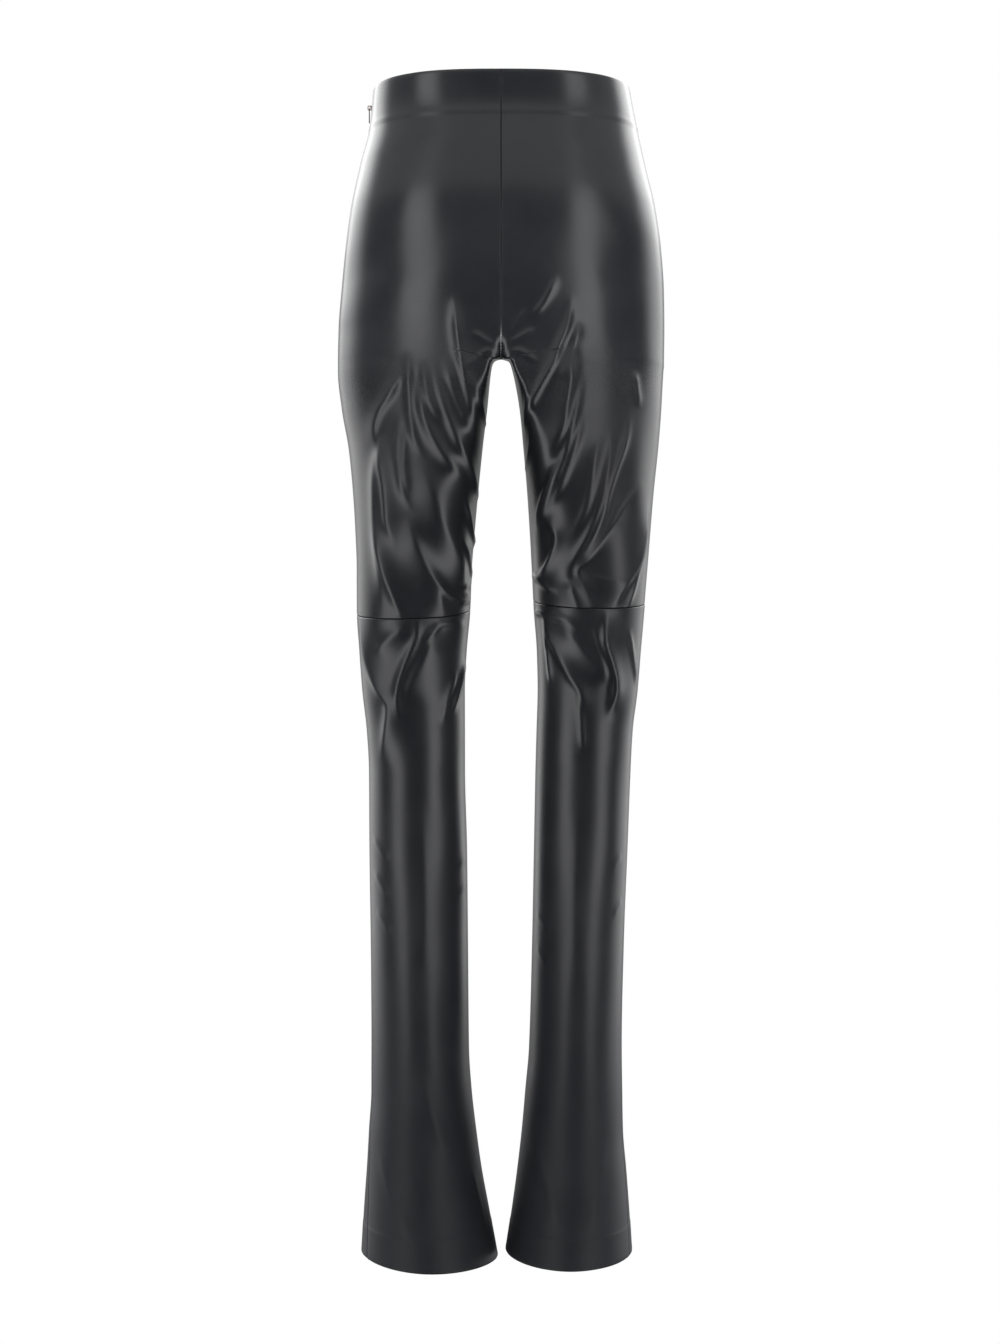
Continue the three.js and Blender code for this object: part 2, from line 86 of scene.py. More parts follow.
class Shop:
    """The node tree of a material or of the world, emptied."""

    def __init__(self, owner):
        owner.use_nodes = True
        self.tree = owner.node_tree
        self.tree.nodes.clear()

    def node(self, kind, inputs, **settings):
        made = self.tree.nodes.new(kind)
        for name, value in settings.items():
            setattr(made, name, value)
        for name, value in inputs.items():
            if isinstance(value, Wire):
                self.tree.links.new(value.socket, made.inputs[name])
            else:
                made.inputs[name].default_value = value
        return made

    def get(self, kind, inputs, output=0, **settings):
        return Wire(self, self.node(kind, inputs, **settings).outputs[output])

    def sum(self, operation, a, b=0.0):
        return self.get("ShaderNodeMath", {0: a, 1: b}, operation=operation)

    def parts(self, vector):
        """The x, y and z of a vector."""
        return [Wire(self, part) for part in self.node("ShaderNodeSeparateXYZ", {0: vector}).outputs]

    def place(self, kind):
        return self.get("ShaderNodeTexCoord", {}, kind)

    def noise(self, place, scale, detail):
        return self.get("ShaderNodeTexNoise", {"Vector": place, "Scale": scale, "Detail": detail})

    def bumps(self, height, strength, depth):
        """A surface made uneven by height, up to depth metres."""
        return self.get("ShaderNodeBump", {"Strength": strength, "Distance": depth, "Height": height})

    def ramp_between(self, value, low, high):
        """0 below low and 1 above high, smooth in between; low may be the larger."""
        if low > high:
            return 1 - self.ramp_between(value, high, low)
        return self.get("ShaderNodeMapRange", {"Value": value, "From Min": low, "From Max": high},
                        interpolation_type="SMOOTHSTEP")

    def mix(self, share, a, b):
        """A colour from a to b by share."""
        a, b = (value if isinstance(value, Wire) else (*value, 1) for value in (a, b))
        return self.get("ShaderNodeMix", {0: share, 6: a, 7: b}, 2, data_type="RGBA")

    def mix_shaders(self, share, a, b):
        return self.get("ShaderNodeMixShader", {0: share, 1: a, 2: b})

    def skin(self, inputs):
        return self.get("ShaderNodeBsdfPrincipled", inputs)

    def show(self, shader, output="ShaderNodeOutputMaterial"):
        self.node(output, {0: shader})


def new_material(name):
    """A material, and the shop for its nodes."""
    made = bpy.data.materials.new(name)
    return made, Shop(made)


WHITE = (1, 1, 1, 1)
ROOM = 0.03
CEILING = 0.65
# Directions are in degrees: round from the front, or up from the horizon.
CEILING_EDGE = (12.0, 13.4)
STRIP_LIGHT = 2.6
STRIP_MIDDLE, STRIP_HALF, STRIP_BLUR = 41.5, 12.5, 3
STRIP_LEAN, STRIP_TAPER = 0.55, 0.3  # how far each leans in, and narrows, for each degree up
STRIP_FOOT = (-60, -40)
OVER_STRIP = 0.35  # what is left of a strip on the ceiling
REAR_FROM, REAR_TO = (88, 118), (146, 156)
REAR_LOW, REAR_MIDDLE, REAR_HIGH = 0.2, 1.9, 5.0
TO_MIDDLE, TO_HIGH = (-18, -6), (8, 23)
BACK_GLOW = 0.2

world = bpy.data.worlds.new("studio")
scene.world = world
studio = Shop(world)
east, north, up = studio.parts(studio.place("Generated"))
azimuth = studio.sum("ARCTAN2", east, 0 - north) * math.degrees(1)
elevation = studio.sum("ARCSINE", up) * math.degrees(1)
ceiling = studio.ramp_between(elevation, *CEILING_EDGE)
light = ROOM + ceiling * CEILING
for side in (-1, 1):
    off_middle = studio.sum("ABSOLUTE", azimuth * side - (STRIP_MIDDLE - elevation * STRIP_LEAN))
    inside = STRIP_HALF - elevation * STRIP_TAPER - off_middle
    strip = studio.ramp_between(inside, -STRIP_BLUR, STRIP_BLUR) * studio.ramp_between(elevation, *STRIP_FOOT)
    light = light + strip * ((1 - ceiling) * STRIP_LIGHT + ceiling * OVER_STRIP)
round_back = studio.sum("ABSOLUTE", azimuth)
rear = studio.ramp_between(round_back, *REAR_FROM)
rear = rear * (1 - studio.ramp_between(round_back, *REAR_TO) * (1 - BACK_GLOW))
low_rise = studio.ramp_between(elevation, *TO_MIDDLE) * (REAR_MIDDLE - REAR_LOW)
high_rise = studio.ramp_between(elevation, *TO_HIGH) * (REAR_HIGH - REAR_MIDDLE)
light = light + rear * (low_rise + high_rise + REAR_LOW)
seen = studio.get("ShaderNodeLightPath", {}, "Is Camera Ray")
lamp = studio.get("ShaderNodeBackground", {"Color": WHITE, "Strength": light})
ground = studio.get("ShaderNodeBackground", {"Color": WHITE, "Strength": 1.0})
studio.show(studio.mix_shaders(seen, lamp, ground), "ShaderNodeOutputWorld")

FLOOR_LEVEL, FLOOR_RADIUS = -1.25, 12
bm = bmesh.new()
bmesh.ops.create_circle(bm, cap_ends=True, segments=96, radius=FLOOR_RADIUS)
bmesh.ops.translate(bm, vec=(0, 0, FLOOR_LEVEL), verts=bm.verts)
floor = bpy.data.objects.new("floor", bpy.data.meshes.new("floor"))
bm.to_mesh(floor.data)
bm.free()
scene.collection.objects.link(floor)
pale, shop = new_material("pale_floor")
shop.show(shop.get("ShaderNodeEmission", {"Color": WHITE, "Strength": 1.0}))
floor.data.materials.append(pale)
floor.visible_glossy = False
floor.visible_diffuse = False


# ---- Leg panels above the knee ----
# Four panels of polyurethane-coated stretch cloth, a front and a back for each leg, cut to the body and
# sewn together at the middle and the sides. Their edges turn in at each seam, and the cloth is pulled
# into folds from the fork and round the knees.
MM = 0.001  # sizes are in millimetres until a mesh is made, with the waist's edge at height 0
SIDE = {"right": -1, "left": 1}  # which way along X each leg lies
HEM, CROTCH, CROTCH_Y = -1131, -262, -28
RISE_TOP = {"front": -222, "back": -165}  # where the middle seam begins to turn under
RISE_TURN = {"front": 5, "back": 2.4}  # how suddenly it does
HALF_GAP = 0.15  # half the space between two panels
ZIP_LENGTH, ZIP_MOUTH, ZIP_MOUTH_DEPTH = 185, 1.4, 20  # the mouth is where the seam stands open at the top
HEM_TURN = 28
FACING_DEPTH = 38
HEM_SLOPE_TOP, HEM_SLOPE = -1010, {"right": 6, "left": 0}  # how much lower the hem's inner end is
KNEE = {"right": (-503, -514, -508), "left": (-494, -504, -497)}  # inner end, lowest and outer end
KNEE_FADE = 60  # how far from the knee seam the rows are level again
CLOTH = 1.1

# At each height: how far out each leg reaches, where its inner edge is, how far the cloth stands out in
# front and behind, and how far back its sides are.
STATIONS = dict(zip("z right left right_in left_in front back side".split(), np.array((
    (0, 124.5, 125.5, 0, 0, 92, 88, 0),
    (-33, 128, 132, 0, 0, 90, 91, 0),
    (-72, 138, 141, 0, 0, 94, 97, 2),
    (-112, 147, 151, 0, 0, 96, 106, 4),
    (-151, 152.5, 157, 0, 0, 95, 114, 6),
    (-190, 156.5, 160, 0, 0, 94, 118, 8),
    (-229, 159.5, 160.5, 0, 0, 92, 115, 8),
    (-262, 160, 160, 0, 0, 91, 106, 6),
    (-264, 160, 160, 6, 7, 91, 105.5, 6),
    (-270, 160, 159.5, 9, 10, 91, 105, 6),
    (-308, 156, 157, 13.5, 18, 89, 95, 4),
    (-347, 149, 153.5, 18, 22, 86, 87, 2),
    (-386, 145, 149.5, 22, 25.5, 82, 79, 0),
    (-425, 142.5, 146, 25.5, 28, 76, 71, -2),
    (-464, 141, 143, 28.5, 30, 69, 63, -3),
    (-504, 141, 140, 30, 32, 62, 57, -2),
    (-543, 139, 137, 33.5, 35, 55, 58, 2),
    (-582, 136.5, 134.5, 35.5, 36, 48, 63, 8),
    (-621, 132.5, 130, 35.5, 35, 41, 69, 14),
    (-660, 130.5, 128, 35.5, 34, 36, 72, 18),
    (-739, 130, 125, 33.5, 32.5, 34, 74, 19),
    (-837, 128.5, 121, 32.5, 30.5, 42, 76, 17),
    (-935, 127.5, 119, 31.5, 27.5, 54, 77, 13),
    (-974, 127.5, 119.5, 29, 24, 58, 77, 11),
    (-1013, 130, 120, 24.5, 20.5, 61, 77.5, 9),
    (-1052, 132, 123, 19, 16, 65, 79, 8),
    (-1092, 134.5, 126, 11.5, 10.5, 69.5, 81, 7),
    (-1140, 137.5, 129, 2.5, 3, 75, 84, 5),
), dtype=float).T))
# How square the outline is at its outer and inner corners, and at what share of the reach it is fullest in
# front and behind.
SQUARENESS = dict(zip("z outer inner front back".split(), np.array((
    (0, 2.7, 2, 0, 0), (-110, 2.42, 2, 0.015, 0.04), (-190, 2.14, 2.4, 0.06, 0.19),
    (-262, 2.1, 2.8, 0.072, 0.35), (-308, 2.1, 2.9, 0.18, 0.44), (-350, 2.1, 2.8, 0.32, 0.52),
    (-400, 2.1, 2.6, 0.47, 0.575), (-460, 2.1, 2.3, 0.57, 0.6), (-540, 2.08, 2.1, 0.615, 0.62),
    (-660, 2.07, 2.1, 0.64, 0.64), (-1000, 2.05, 2.05, 0.595, 0.595), (-1140, 1.88, 1.88, 0.51, 0.51),
)).T))
# How far each side seam lies forward of the sides.
SEAM_SHIFT = dict(zip("z right left".split(), np.array((
    (0, 0, 0), (-130, 0, 0), (-230, -5, -5), (-400, -5, -5), (-500, 0, -3),
    (-600, 0, 0), (-800, 7, 6), (-935, 16, 15), (-1140, 37, 28),
)).T))
ARC = 90  # points on each quarter curve
FORK_BLEND = 150  # how far below the fork the inner edge comes level with the sides
ACROSS = 241  # points across each panel in its form
ROUND_FORK = 34  # how far below the fork the form's rings are close together
PAST_HEM = 8  # how far below the hem the form goes on
EVEN_OVER, EVEN_REACH = 24, 60  # how gradually a panel's columns change their spacing down the leg
EDGE_PULL = 5  # how near the inner edge the columns stretch to meet it


def ease(value):
    value = np.clip(value, 0, 1)
    return value * value * (3 - 2 * value)


def mix(a, b, share):
    return a + (b - a) * share


def column(table, name, z):
    """A column of a table at each height, as a smooth curve that never overshoots its rows."""
    heights, values = table["z"], table[name]
    step = np.diff(heights)
    slope = np.diff(values) / step
    before, after = slope[:-1], slope[1:]
    together = before + after
    inner = np.where(before * after > 0, 2 * before * after / np.where(together == 0, 1, together), 0)
    tangent = np.concatenate((slope[:1], inner, slope[-1:]))
    i = np.clip(np.searchsorted(-heights, -z, side="right") - 1, 0, len(step) - 1)
    t = np.clip((z - heights[i]) / step[i], 0, 1)
    ends = mix(values[i], values[i + 1], ease(t))
    return ends + step[i] * (t * (1 - t) ** 2 * tangent[i] - t * t * (1 - t) * tangent[i + 1])


def half_rings(leg, face, z):
    """The front or back half of a leg's outline at each height, from its inner edge to its widest point."""
    z = z[:, None]
    top, turn_under = RISE_TOP[face], RISE_TURN[face]
    under = np.clip((top - z) / (top - CROTCH), 0, 1)
    below = ease((CROTCH - z) / FORK_BLEND)
    reach = column(STATIONS, leg, z)
    face_y = (-1 if face == "front" else 1) * column(STATIONS, face, z)
    side_y = column(STATIONS, "side", z)
    outer = 2 / column(SQUARENESS, "outer", z)
    inner = 2 / column(SQUARENESS, "inner", z)
    edge_x = np.maximum(HALF_GAP, column(STATIONS, leg + "_in", z))
    rise_y = mix(face_y, CROTCH_Y, 1 - (1 - under ** turn_under) ** (1 / turn_under))
    edge_y = np.where(z > CROTCH, rise_y, mix(CROTCH_Y, side_y, below))
    crown_x = np.maximum(edge_x, reach * column(SQUARENESS, face, z))
    turn = np.linspace(0, math.pi / 2, ARC)[None, :]
    c, s = np.clip(np.cos(turn), 0, 1), np.sin(turn)
    dip = mix(c ** (2 * inner), 1 - s ** inner, under ** 2)
    x = np.hstack((mix(edge_x, crown_x, 1 - c ** inner)[:, :-1], mix(crown_x, reach, s ** outer)))
    y = np.hstack((mix(face_y, edge_y, dip)[:, :-1], mix(side_y, face_y, c ** outer)))
    return np.stack((x, y), -1)


def side_trim(leg, z):
    """Half the space at a side seam, which stands open at the top of the zip."""
    if leg == "left":
        return np.full_like(z, HALF_GAP)
    return mix(ZIP_MOUTH, 2 * HALF_GAP, ease((-z - ZIP_MOUTH_DEPTH) / ZIP_MOUTH_DEPTH)) / 2


def row_lengths(rows):
    """How far along each row of points each of them is."""
    lengths = np.zeros(rows.shape[:2])
    lengths[:, 1:] = np.cumsum(np.linalg.norm(np.diff(rows, axis=1), axis=2), axis=1)
    return lengths


# Heights of the form's rings, closest together where the rise turns under to the fork.
FORM_Z = np.concatenate((
    np.linspace(0, RISE_TOP["back"] + 3, 82),
    mix(RISE_TOP["back"], CROTCH, np.sin(np.linspace(0, math.pi / 2, 160))),
    CROTCH - ROUND_FORK * np.linspace(0.02, 1, 70) ** 2,
    np.linspace(CROTCH - ROUND_FORK - 2, HEM - PAST_HEM, 420),
))
LEVEL = np.arange(-FORM_Z[-1] + 1)
SPREAD = np.exp(-(np.arange(-EVEN_REACH, EVEN_REACH + 1) / EVEN_OVER) ** 2)
FORM = {}
FORM_WIDTH = {}
for leg in ("right", "left"):
    rings = np.hstack((half_rings(leg, "front", FORM_Z), half_rings(leg, "back", FORM_Z)[:, -2::-1]))
    lengths = row_lengths(rings)
    seam = lengths[:, 2 * ARC - 2] - column(SEAM_SHIFT, leg, FORM_Z)
    trim = side_trim(leg, FORM_Z)
    inner = np.where(FORM_Z <= CROTCH, HALF_GAP, 0)
    for face in ("front", "back"):
        start = inner if face == "front" else lengths[:, -1] - inner
        end = seam - trim if face == "front" else seam + trim
        span = np.interp(LEVEL, -FORM_Z, end - start)
        even = np.convolve(np.pad(span, EVEN_REACH, "edge"), SPREAD / SPREAD.sum(), "valid")
        even = np.interp(-FORM_Z, LEVEL, even)
        left = 1 - np.linspace(0, 1, ACROSS)
        form = np.zeros((len(FORM_Z), ACROSS, 3))
        for i, z in enumerate(FORM_Z):
            along = end[i] - even[i] * left - (end[i] - start[i] - even[i]) * left ** EDGE_PULL
            form[i, :, 0] = np.interp(along, lengths[i], rings[i, :, 0]) * SIDE[leg]
            form[i, :, 1] = np.interp(along, lengths[i], rings[i, :, 1])
            form[i, :, 2] = z
        FORM[leg, face] = form
        FORM_WIDTH[leg, face] = np.abs(end - start)


def form_width(leg, face, z):
    return np.interp(-z, -FORM_Z, FORM_WIDTH[leg, face])


def on_form(leg, face, across, z):
    """Points of a panel's form at shares across it and heights."""
    form = FORM[leg, face]
    i = np.clip(np.searchsorted(-FORM_Z, -z, side="right") - 1, 0, len(FORM_Z) - 2)
    v = np.clip((z - FORM_Z[i]) / (FORM_Z[i + 1] - FORM_Z[i]), 0, 1)[..., None]
    column_place = np.clip(across, 0, 1) * (ACROSS - 1)
    j = np.minimum(column_place.astype(int), ACROSS - 2)
    u = (column_place - j)[..., None]
    point = mix(mix(form[i, j], form[i, j + 1], u), mix(form[i + 1, j], form[i + 1, j + 1], u), v)
    point[..., 2] = z
    return point


def knee_seam(leg, across):
    inner, low, outer = KNEE[leg]
    return mix(inner, outer, across) - (mix(inner, outer, 0.5) - low) * np.sin(math.pi * across)


def hem_lean(leg, across, z):
    """How far a row near the hem is moved down at shares across a panel."""
    near_hem = np.clip((HEM_SLOPE_TOP - z) / (HEM_SLOPE_TOP - HEM), 0, 1)
    return -HEM_SLOPE[leg] * (1 - across) * near_hem


def row_height(leg, inner, outer, across):
    """Height of a row across a panel, with its ends apart near the fork and bent to the knee seam and hem."""
    level = mix(inner, outer, ease(across * 2))
    near_knee = np.clip(1 - np.abs(level - KNEE[leg][1]) / KNEE_FADE, 0, 1)
    return level + (knee_seam(leg, across) - KNEE[leg][1]) * near_knee + hem_lean(leg, across, level)


# How an edge turns in at a seam, from inside out: how deep it lies, and how far from the seam.
TURNED_EDGE = ((6, 0), (3, 0), (1.4, 0), (0.9, 0.05), (0.5, 0.18), (0.22, 0.34), (0.06, 0.55), (0, 0.9))
SHALLOW = 1.3  # how deep an edge turns in where another layer lies behind it
WAIST_EDGE = ((SHALLOW, 0), (SHALLOW, 0), *TURNED_EDGE[2:])
PAST_EDGE = 3.5  # where a panel's plain rows begin
CLOSING_COLUMNS = 3  # how many columns at each edge reach across the gap to the next panel
FIRST_COLUMN = 0.035  # share of the width at which the plain columns begin
NEARBY = 0.003  # share of the width over which a direction across is taken
PAST_ZIP, PAST_FACING, PAST_TURN = 6, 3, 2  # how far past each layer the edges stay shallow


def spaced(start, end, step):
    """Heights from start to end, about step apart."""
    return list(np.linspace(start, end, max(2, int(abs(end - start) / step) + 1)))


FOLD_FADE = 0.3  # share of a fold over which each of its ends dies away
FOLD_POINTS = 12  # steps from each place of a fold to the next
FOLD_REACH = 3.2  # how many widths from its line a fold is followed
FOLD_ROUND = 1.5  # how rounded its top is, from 1, sharp
INNER_CLEAR, SIDE_CLEAR = 24, 7  # how near a panel's inner and side edges its folds begin to die away


def fold_heights(folds, leg, face, points, normals):
    """How far folds lift each point of a panel. A fold is how far it stands out, how far it reaches to its
    left and right as it runs down, and the places it runs through: how far from the middle, and how far
    down from the waist."""
    lift = np.zeros(points.shape[:2])
    for rise, left, right, places in folds:
        places = np.array(places, dtype=float) * (SIDE[leg], -1)
        steps = np.linspace(0, len(places) - 1, FOLD_POINTS * (len(places) - 1) + 1)
        path = np.stack([smooth_curve(steps, places[:, k]) for k in range(2)], -1)
        spine = []
        for x, z in path:
            ring = on_form(leg, face, np.linspace(0, 1, ACROSS), np.full(ACROSS, z))
            across = np.interp(x * SIDE[leg], ring[:, 0] * SIDE[leg], np.linspace(0, 1, ACROSS))
            spine.append(on_form(leg, face, np.array(across), np.array(z)))
        spine = np.array(spine)
        reach = FOLD_REACH * max(left, right)
        low, high = spine.min(0) - reach, spine.max(0) + reach
        near = np.all((points > low) & (points < high), axis=2)
        here = points[near]
        if not len(here):
            continue
        best = np.full(len(here), 1e9)
        side = np.zeros(len(here))
        share = np.zeros(len(here))
        run = np.linalg.norm(np.diff(spine, axis=0), axis=1)
        total = np.concatenate(([0], np.cumsum(run)))
        for k, length in enumerate(run):
            if length < 1e-6:
                continue
            line = (spine[k + 1] - spine[k]) / length
            off = here - spine[k]
            along = np.clip(off @ line, 0, length)
            away = off - along[:, None] * line
            distance = np.linalg.norm(away, axis=1)
            closer = distance < best
            best[closer] = distance[closer]
            share[closer] = (total[k] + along[closer]) / total[-1]
            side[closer] = np.einsum("ij,ij->i", away, np.cross(line, normals[near]))[closer]
        width = np.where(side > 0, left, right)
        ends = ease(share / FOLD_FADE) * ease((1 - share) / FOLD_FADE)
        lift[near] += rise * ends * np.exp(-((best / width) ** FOLD_ROUND))
    return lift


def smooth_curve(steps, values):
    """Values at fractional places along a list, on a curve through it."""
    i = np.clip(steps.astype(int), 0, len(values) - 2)
    t = steps - i
    before, after = values[np.maximum(i - 1, 0)], values[np.minimum(i + 2, len(values) - 1)]
    a, b = values[i], values[i + 1]
    return a + t * ((b - before) / 2 + t * ((2 * before - 5 * a + 4 * b - after) / 2
                                            + t * (3 * a - before - 3 * b + after) / 2))


FORK_TILT = 0.14  # for each millimetre forward or back
FORK_REACH_X, FORK_REACH_Z = 30, 28  # how far round the fork the pull is felt


def fork_tilt(points):
    """How far the fork is pulled down in front and up behind, as it sits when the garment is worn."""
    x, y, z = np.moveaxis(points, -1, 0)
    near = np.exp(-((x / FORK_REACH_X) ** 2) - ((z - CROTCH) / FORK_REACH_Z) ** 2)
    return FORK_TILT * (y - CROTCH_Y) * near


def mirrored(leg, face):
    """Which way round a panel's grid lies: 1, or -1 for its mirror image."""
    return SIDE[leg] * (1 if face == "front" else -1)


def outward(leg, face, across, z, side_step=0.004, up_step=0.5):
    """Directions straight out of a panel's form at shares across it and heights."""
    along = on_form(leg, face, across + side_step, z) - on_form(leg, face, across - side_step, z)
    up = on_form(leg, face, across, z + up_step) - on_form(leg, face, across, z - up_step)
    normals = np.cross(along, up) * mirrored(leg, face)
    return normals / np.linalg.norm(normals, axis=-1, keepdims=True)


def panel(name, leg, face, rows, columns, waves, folds):
    """Makes a panel from a flat grid: rows are (inner height, outer height, depth) from the top down, and
    columns is how many there are between the turned-in edges."""
    turn, off_seam = np.array(TURNED_EDGE).T
    middle = np.linspace(FIRST_COLUMN, 1 - FIRST_COLUMN, columns)
    plain = np.zeros(columns)
    shares = np.concatenate((0 * turn, middle, 0 * turn + 1))
    off = np.concatenate((off_seam, plain, -off_seam[::-1]))
    edge_depth = np.concatenate((turn, plain, turn[::-1]))
    inner_rows, outer_rows, row_depth = (np.array(part, dtype=float)[:, None] for part in zip(*rows))
    width = form_width(leg, face, (inner_rows + outer_rows) / 2)
    across = np.clip(shares + off / width, 0, 1)
    z = row_height(leg, inner_rows, outer_rows, across)
    points = on_form(leg, face, across, z)
    closing = np.zeros(len(shares))
    closing[:CLOSING_COLUMNS], closing[-CLOSING_COLUMNS:] = 1, -1
    beside = on_form(leg, face, across + closing * NEARBY, z) - points
    beside /= np.maximum(np.linalg.norm(beside, axis=2, keepdims=True), 1e-9)
    points -= beside * HALF_GAP * np.abs(closing)[:, None]
    points[..., 2] += fork_tilt(points)
    normals = outward(leg, face, across, z)
    clear = ease(across * width / INNER_CLEAR) * ease((1 - across) * width / SIDE_CLEAR)
    lift = (fold_heights(folds, leg, face, points, normals) + waves(points)) * clear + ridges(z)
    zipped = (leg == "right") & (z > -ZIP_LENGTH - PAST_ZIP) & (across > 0.5)
    faced = z > -FACING_DEPTH - PAST_FACING
    hemmed = z < HEM + HEM_TURN + PAST_TURN
    depth = edge_depth + row_depth
    depth = np.where(zipped | faced | hemmed, np.minimum(depth, np.maximum(SHALLOW, row_depth)), depth)
    points = points + normals * (lift - depth)[..., None]
    return cloth_piece(name, points, across * width, z, mirrored(leg, face) < 0, CLOTH, (coated, knit))


def cloth_piece(name, points, over, down, turned, thickness, looks):
    """A sheet of cloth: a flat grid laid onto points, given its thickness inwards, with two looks for its
    outer and inner sides."""
    count_down, count_across = points.shape[:2]
    bm = bmesh.new()
    bmesh.ops.create_grid(bm, x_segments=count_across - 1, y_segments=count_down - 1, size=0.5)
    mesh = bpy.data.meshes.new(name)
    bm.to_mesh(mesh)
    bm.free()
    flat = np.empty(3 * len(mesh.vertices))
    mesh.vertices.foreach_get("co", flat)
    flat = flat.reshape(-1, 3)
    column_at = np.rint((flat[:, 0] + 0.5) * (count_across - 1)).astype(int)
    row_at = np.rint((0.5 - flat[:, 1]) * (count_down - 1)).astype(int)
    mesh.vertices.foreach_set("co", (points[row_at, column_at] * MM).ravel())
    loops = np.empty(len(mesh.loops), dtype=np.int32)
    mesh.loops.foreach_get("vertex_index", loops)
    cut = mesh.uv_layers.new(name="cut")
    placed = np.stack((over[row_at, column_at], down[row_at, column_at]), -1) * MM
    cut.data.foreach_set("uv", placed[loops].ravel())
    if turned:
        mesh.flip_normals()
    mesh.polygons.foreach_set("use_smooth", np.ones(len(mesh.polygons), dtype=bool))
    mesh.update()
    piece = bpy.data.objects.new(name, mesh)
    scene.collection.objects.link(piece)
    wall = piece.modifiers.new("wall", "SOLIDIFY")
    wall.thickness = thickness * MM
    wall.offset = -1
    wall.material_offset = 1
    wall.material_offset_rim = 1
    for look in looks:
        mesh.materials.append(look)
    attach(piece, "garment")
    return piece


RIDGE_WIDTH, STEP_WIDTH = 1.6, 3
FACING_RIDGE, FACING_STEP = 0.55, 0.25
HEM_RIDGE, HEM_STEP = 0.35, 0.3


def doubled(past, ridge, step):
    """How far cloth stands out at distances past the edge of another layer behind it."""
    return ridge * np.exp(-((past / RIDGE_WIDTH) ** 2)) + step * ease(past / STEP_WIDTH)


def ridges(z):
    """The edge of the facing under the waist and of the turned-up hem, seen through the cloth."""
    return doubled(z + FACING_DEPTH, FACING_RIDGE, FACING_STEP) \
        + doubled(HEM + HEM_TURN - z, HEM_RIDGE, HEM_STEP)


WAVE_HEIGHT = 0.09
WAVE_ACROSS, WAVE_DOWN, WAVE_DRIFT = 14, 38, 60
DEPTH_SHARE = 0.7  # how much a wave runs on from front to back, as against from side to side


def cloth_waves(seed):
    """The slight unevenness of cloth pulled tight, the same each time."""
    random = np.random.default_rng(seed)
    waves = [[random.uniform(*limits) for limits in ((0.5, 1.6), (0.6, 1.6), (0, 6.3), (0, 6.3))]
             for _ in range(6)]

    def heights(points):
        round_leg, z = points[..., 0] + points[..., 1] * DEPTH_SHARE, points[..., 2]
        total = np.zeros(z.shape)
        for over, down, a, b in waves:
            drift = np.sin(z / WAVE_DRIFT + b)
            total += WAVE_HEIGHT * np.sin(round_leg * over / WAVE_ACROSS + a + drift) \
                * np.sin(z * down / WAVE_DOWN + b)
        return total

    return heights


# The coated side: a thin glossy film with a fine grain, nearly black and a little blue. Its tone and shine
# change down the leg for looks alone: a painted sheen makes its colour paler over the hips than below them,
# and it is glossier over the hips and duller towards the hems.
HIP_SHEEN_FADE_FROM, HIP_SHEEN_FADE_TO = -0.20, -0.38
DULL_FROM, DULL_TO = -0.74, -1.02
coated, shop = new_material("coated_cloth")
place = shop.place("Object")
pebble = shop.get("ShaderNodeTexVoronoi", {"Vector": place, "Scale": 800.0}, "Distance", feature="SMOOTH_F1")
fine = shop.noise(place, 1200.0, 2.0)
blotch = shop.noise(place, 26.0, 3.0)
wear = shop.noise(place, 140.0, 3.0)
height = shop.parts(place)[2]
past_hip_sheen = shop.ramp_between(height, HIP_SHEEN_FADE_FROM, HIP_SHEEN_FADE_TO)
dulled = shop.ramp_between(height, DULL_FROM, DULL_TO)
# Painted sheen: the colour over the hips is paler than the colour below them, by height alone.
hip_sheen_tone = shop.mix(blotch, (0.027, 0.029, 0.034), (0.037, 0.039, 0.045))
lower_tone = shop.mix(blotch, (0.015, 0.016, 0.020), (0.024, 0.025, 0.030))
tone = shop.mix(past_hip_sheen, hip_sheen_tone, lower_tone)
grain = shop.bumps(pebble * 0.6 + fine * 0.5, 0.35, 0.0001)
glossy = shop.skin({
    "Base Color": tone, "Roughness": 0.09 + blotch * 0.07 + wear * 0.05 + fine * 0.12 + past_hip_sheen * 0.13,
    "Normal": grain, "IOR": 1.5})
dull = shop.skin({"Base Color": tone, "Roughness": 0.45 + blotch * 0.1, "Normal": grain, "IOR": 1.3})
shop.show(shop.mix_shaders(dulled, glossy, dull))

# The cloth side: a matt brushed knit, seen inside the waist and the hems.
knit, shop = new_material("cloth_backing")
place = shop.place("Object")
loops_of_knit = shop.get("ShaderNodeTexVoronoi", {"Vector": place, "Scale": 1400.0}, "Distance")
fuzz = shop.noise(place, 500.0, 3.0)
tone = shop.mix(fuzz, (0.010, 0.010, 0.011), (0.028, 0.028, 0.030))
shop.show(shop.skin({"Base Color": tone, "Roughness": 0.85 + fuzz * 0.1,
                     "Normal": shop.bumps(loops_of_knit + fuzz, 0.6, 0.0001)}))

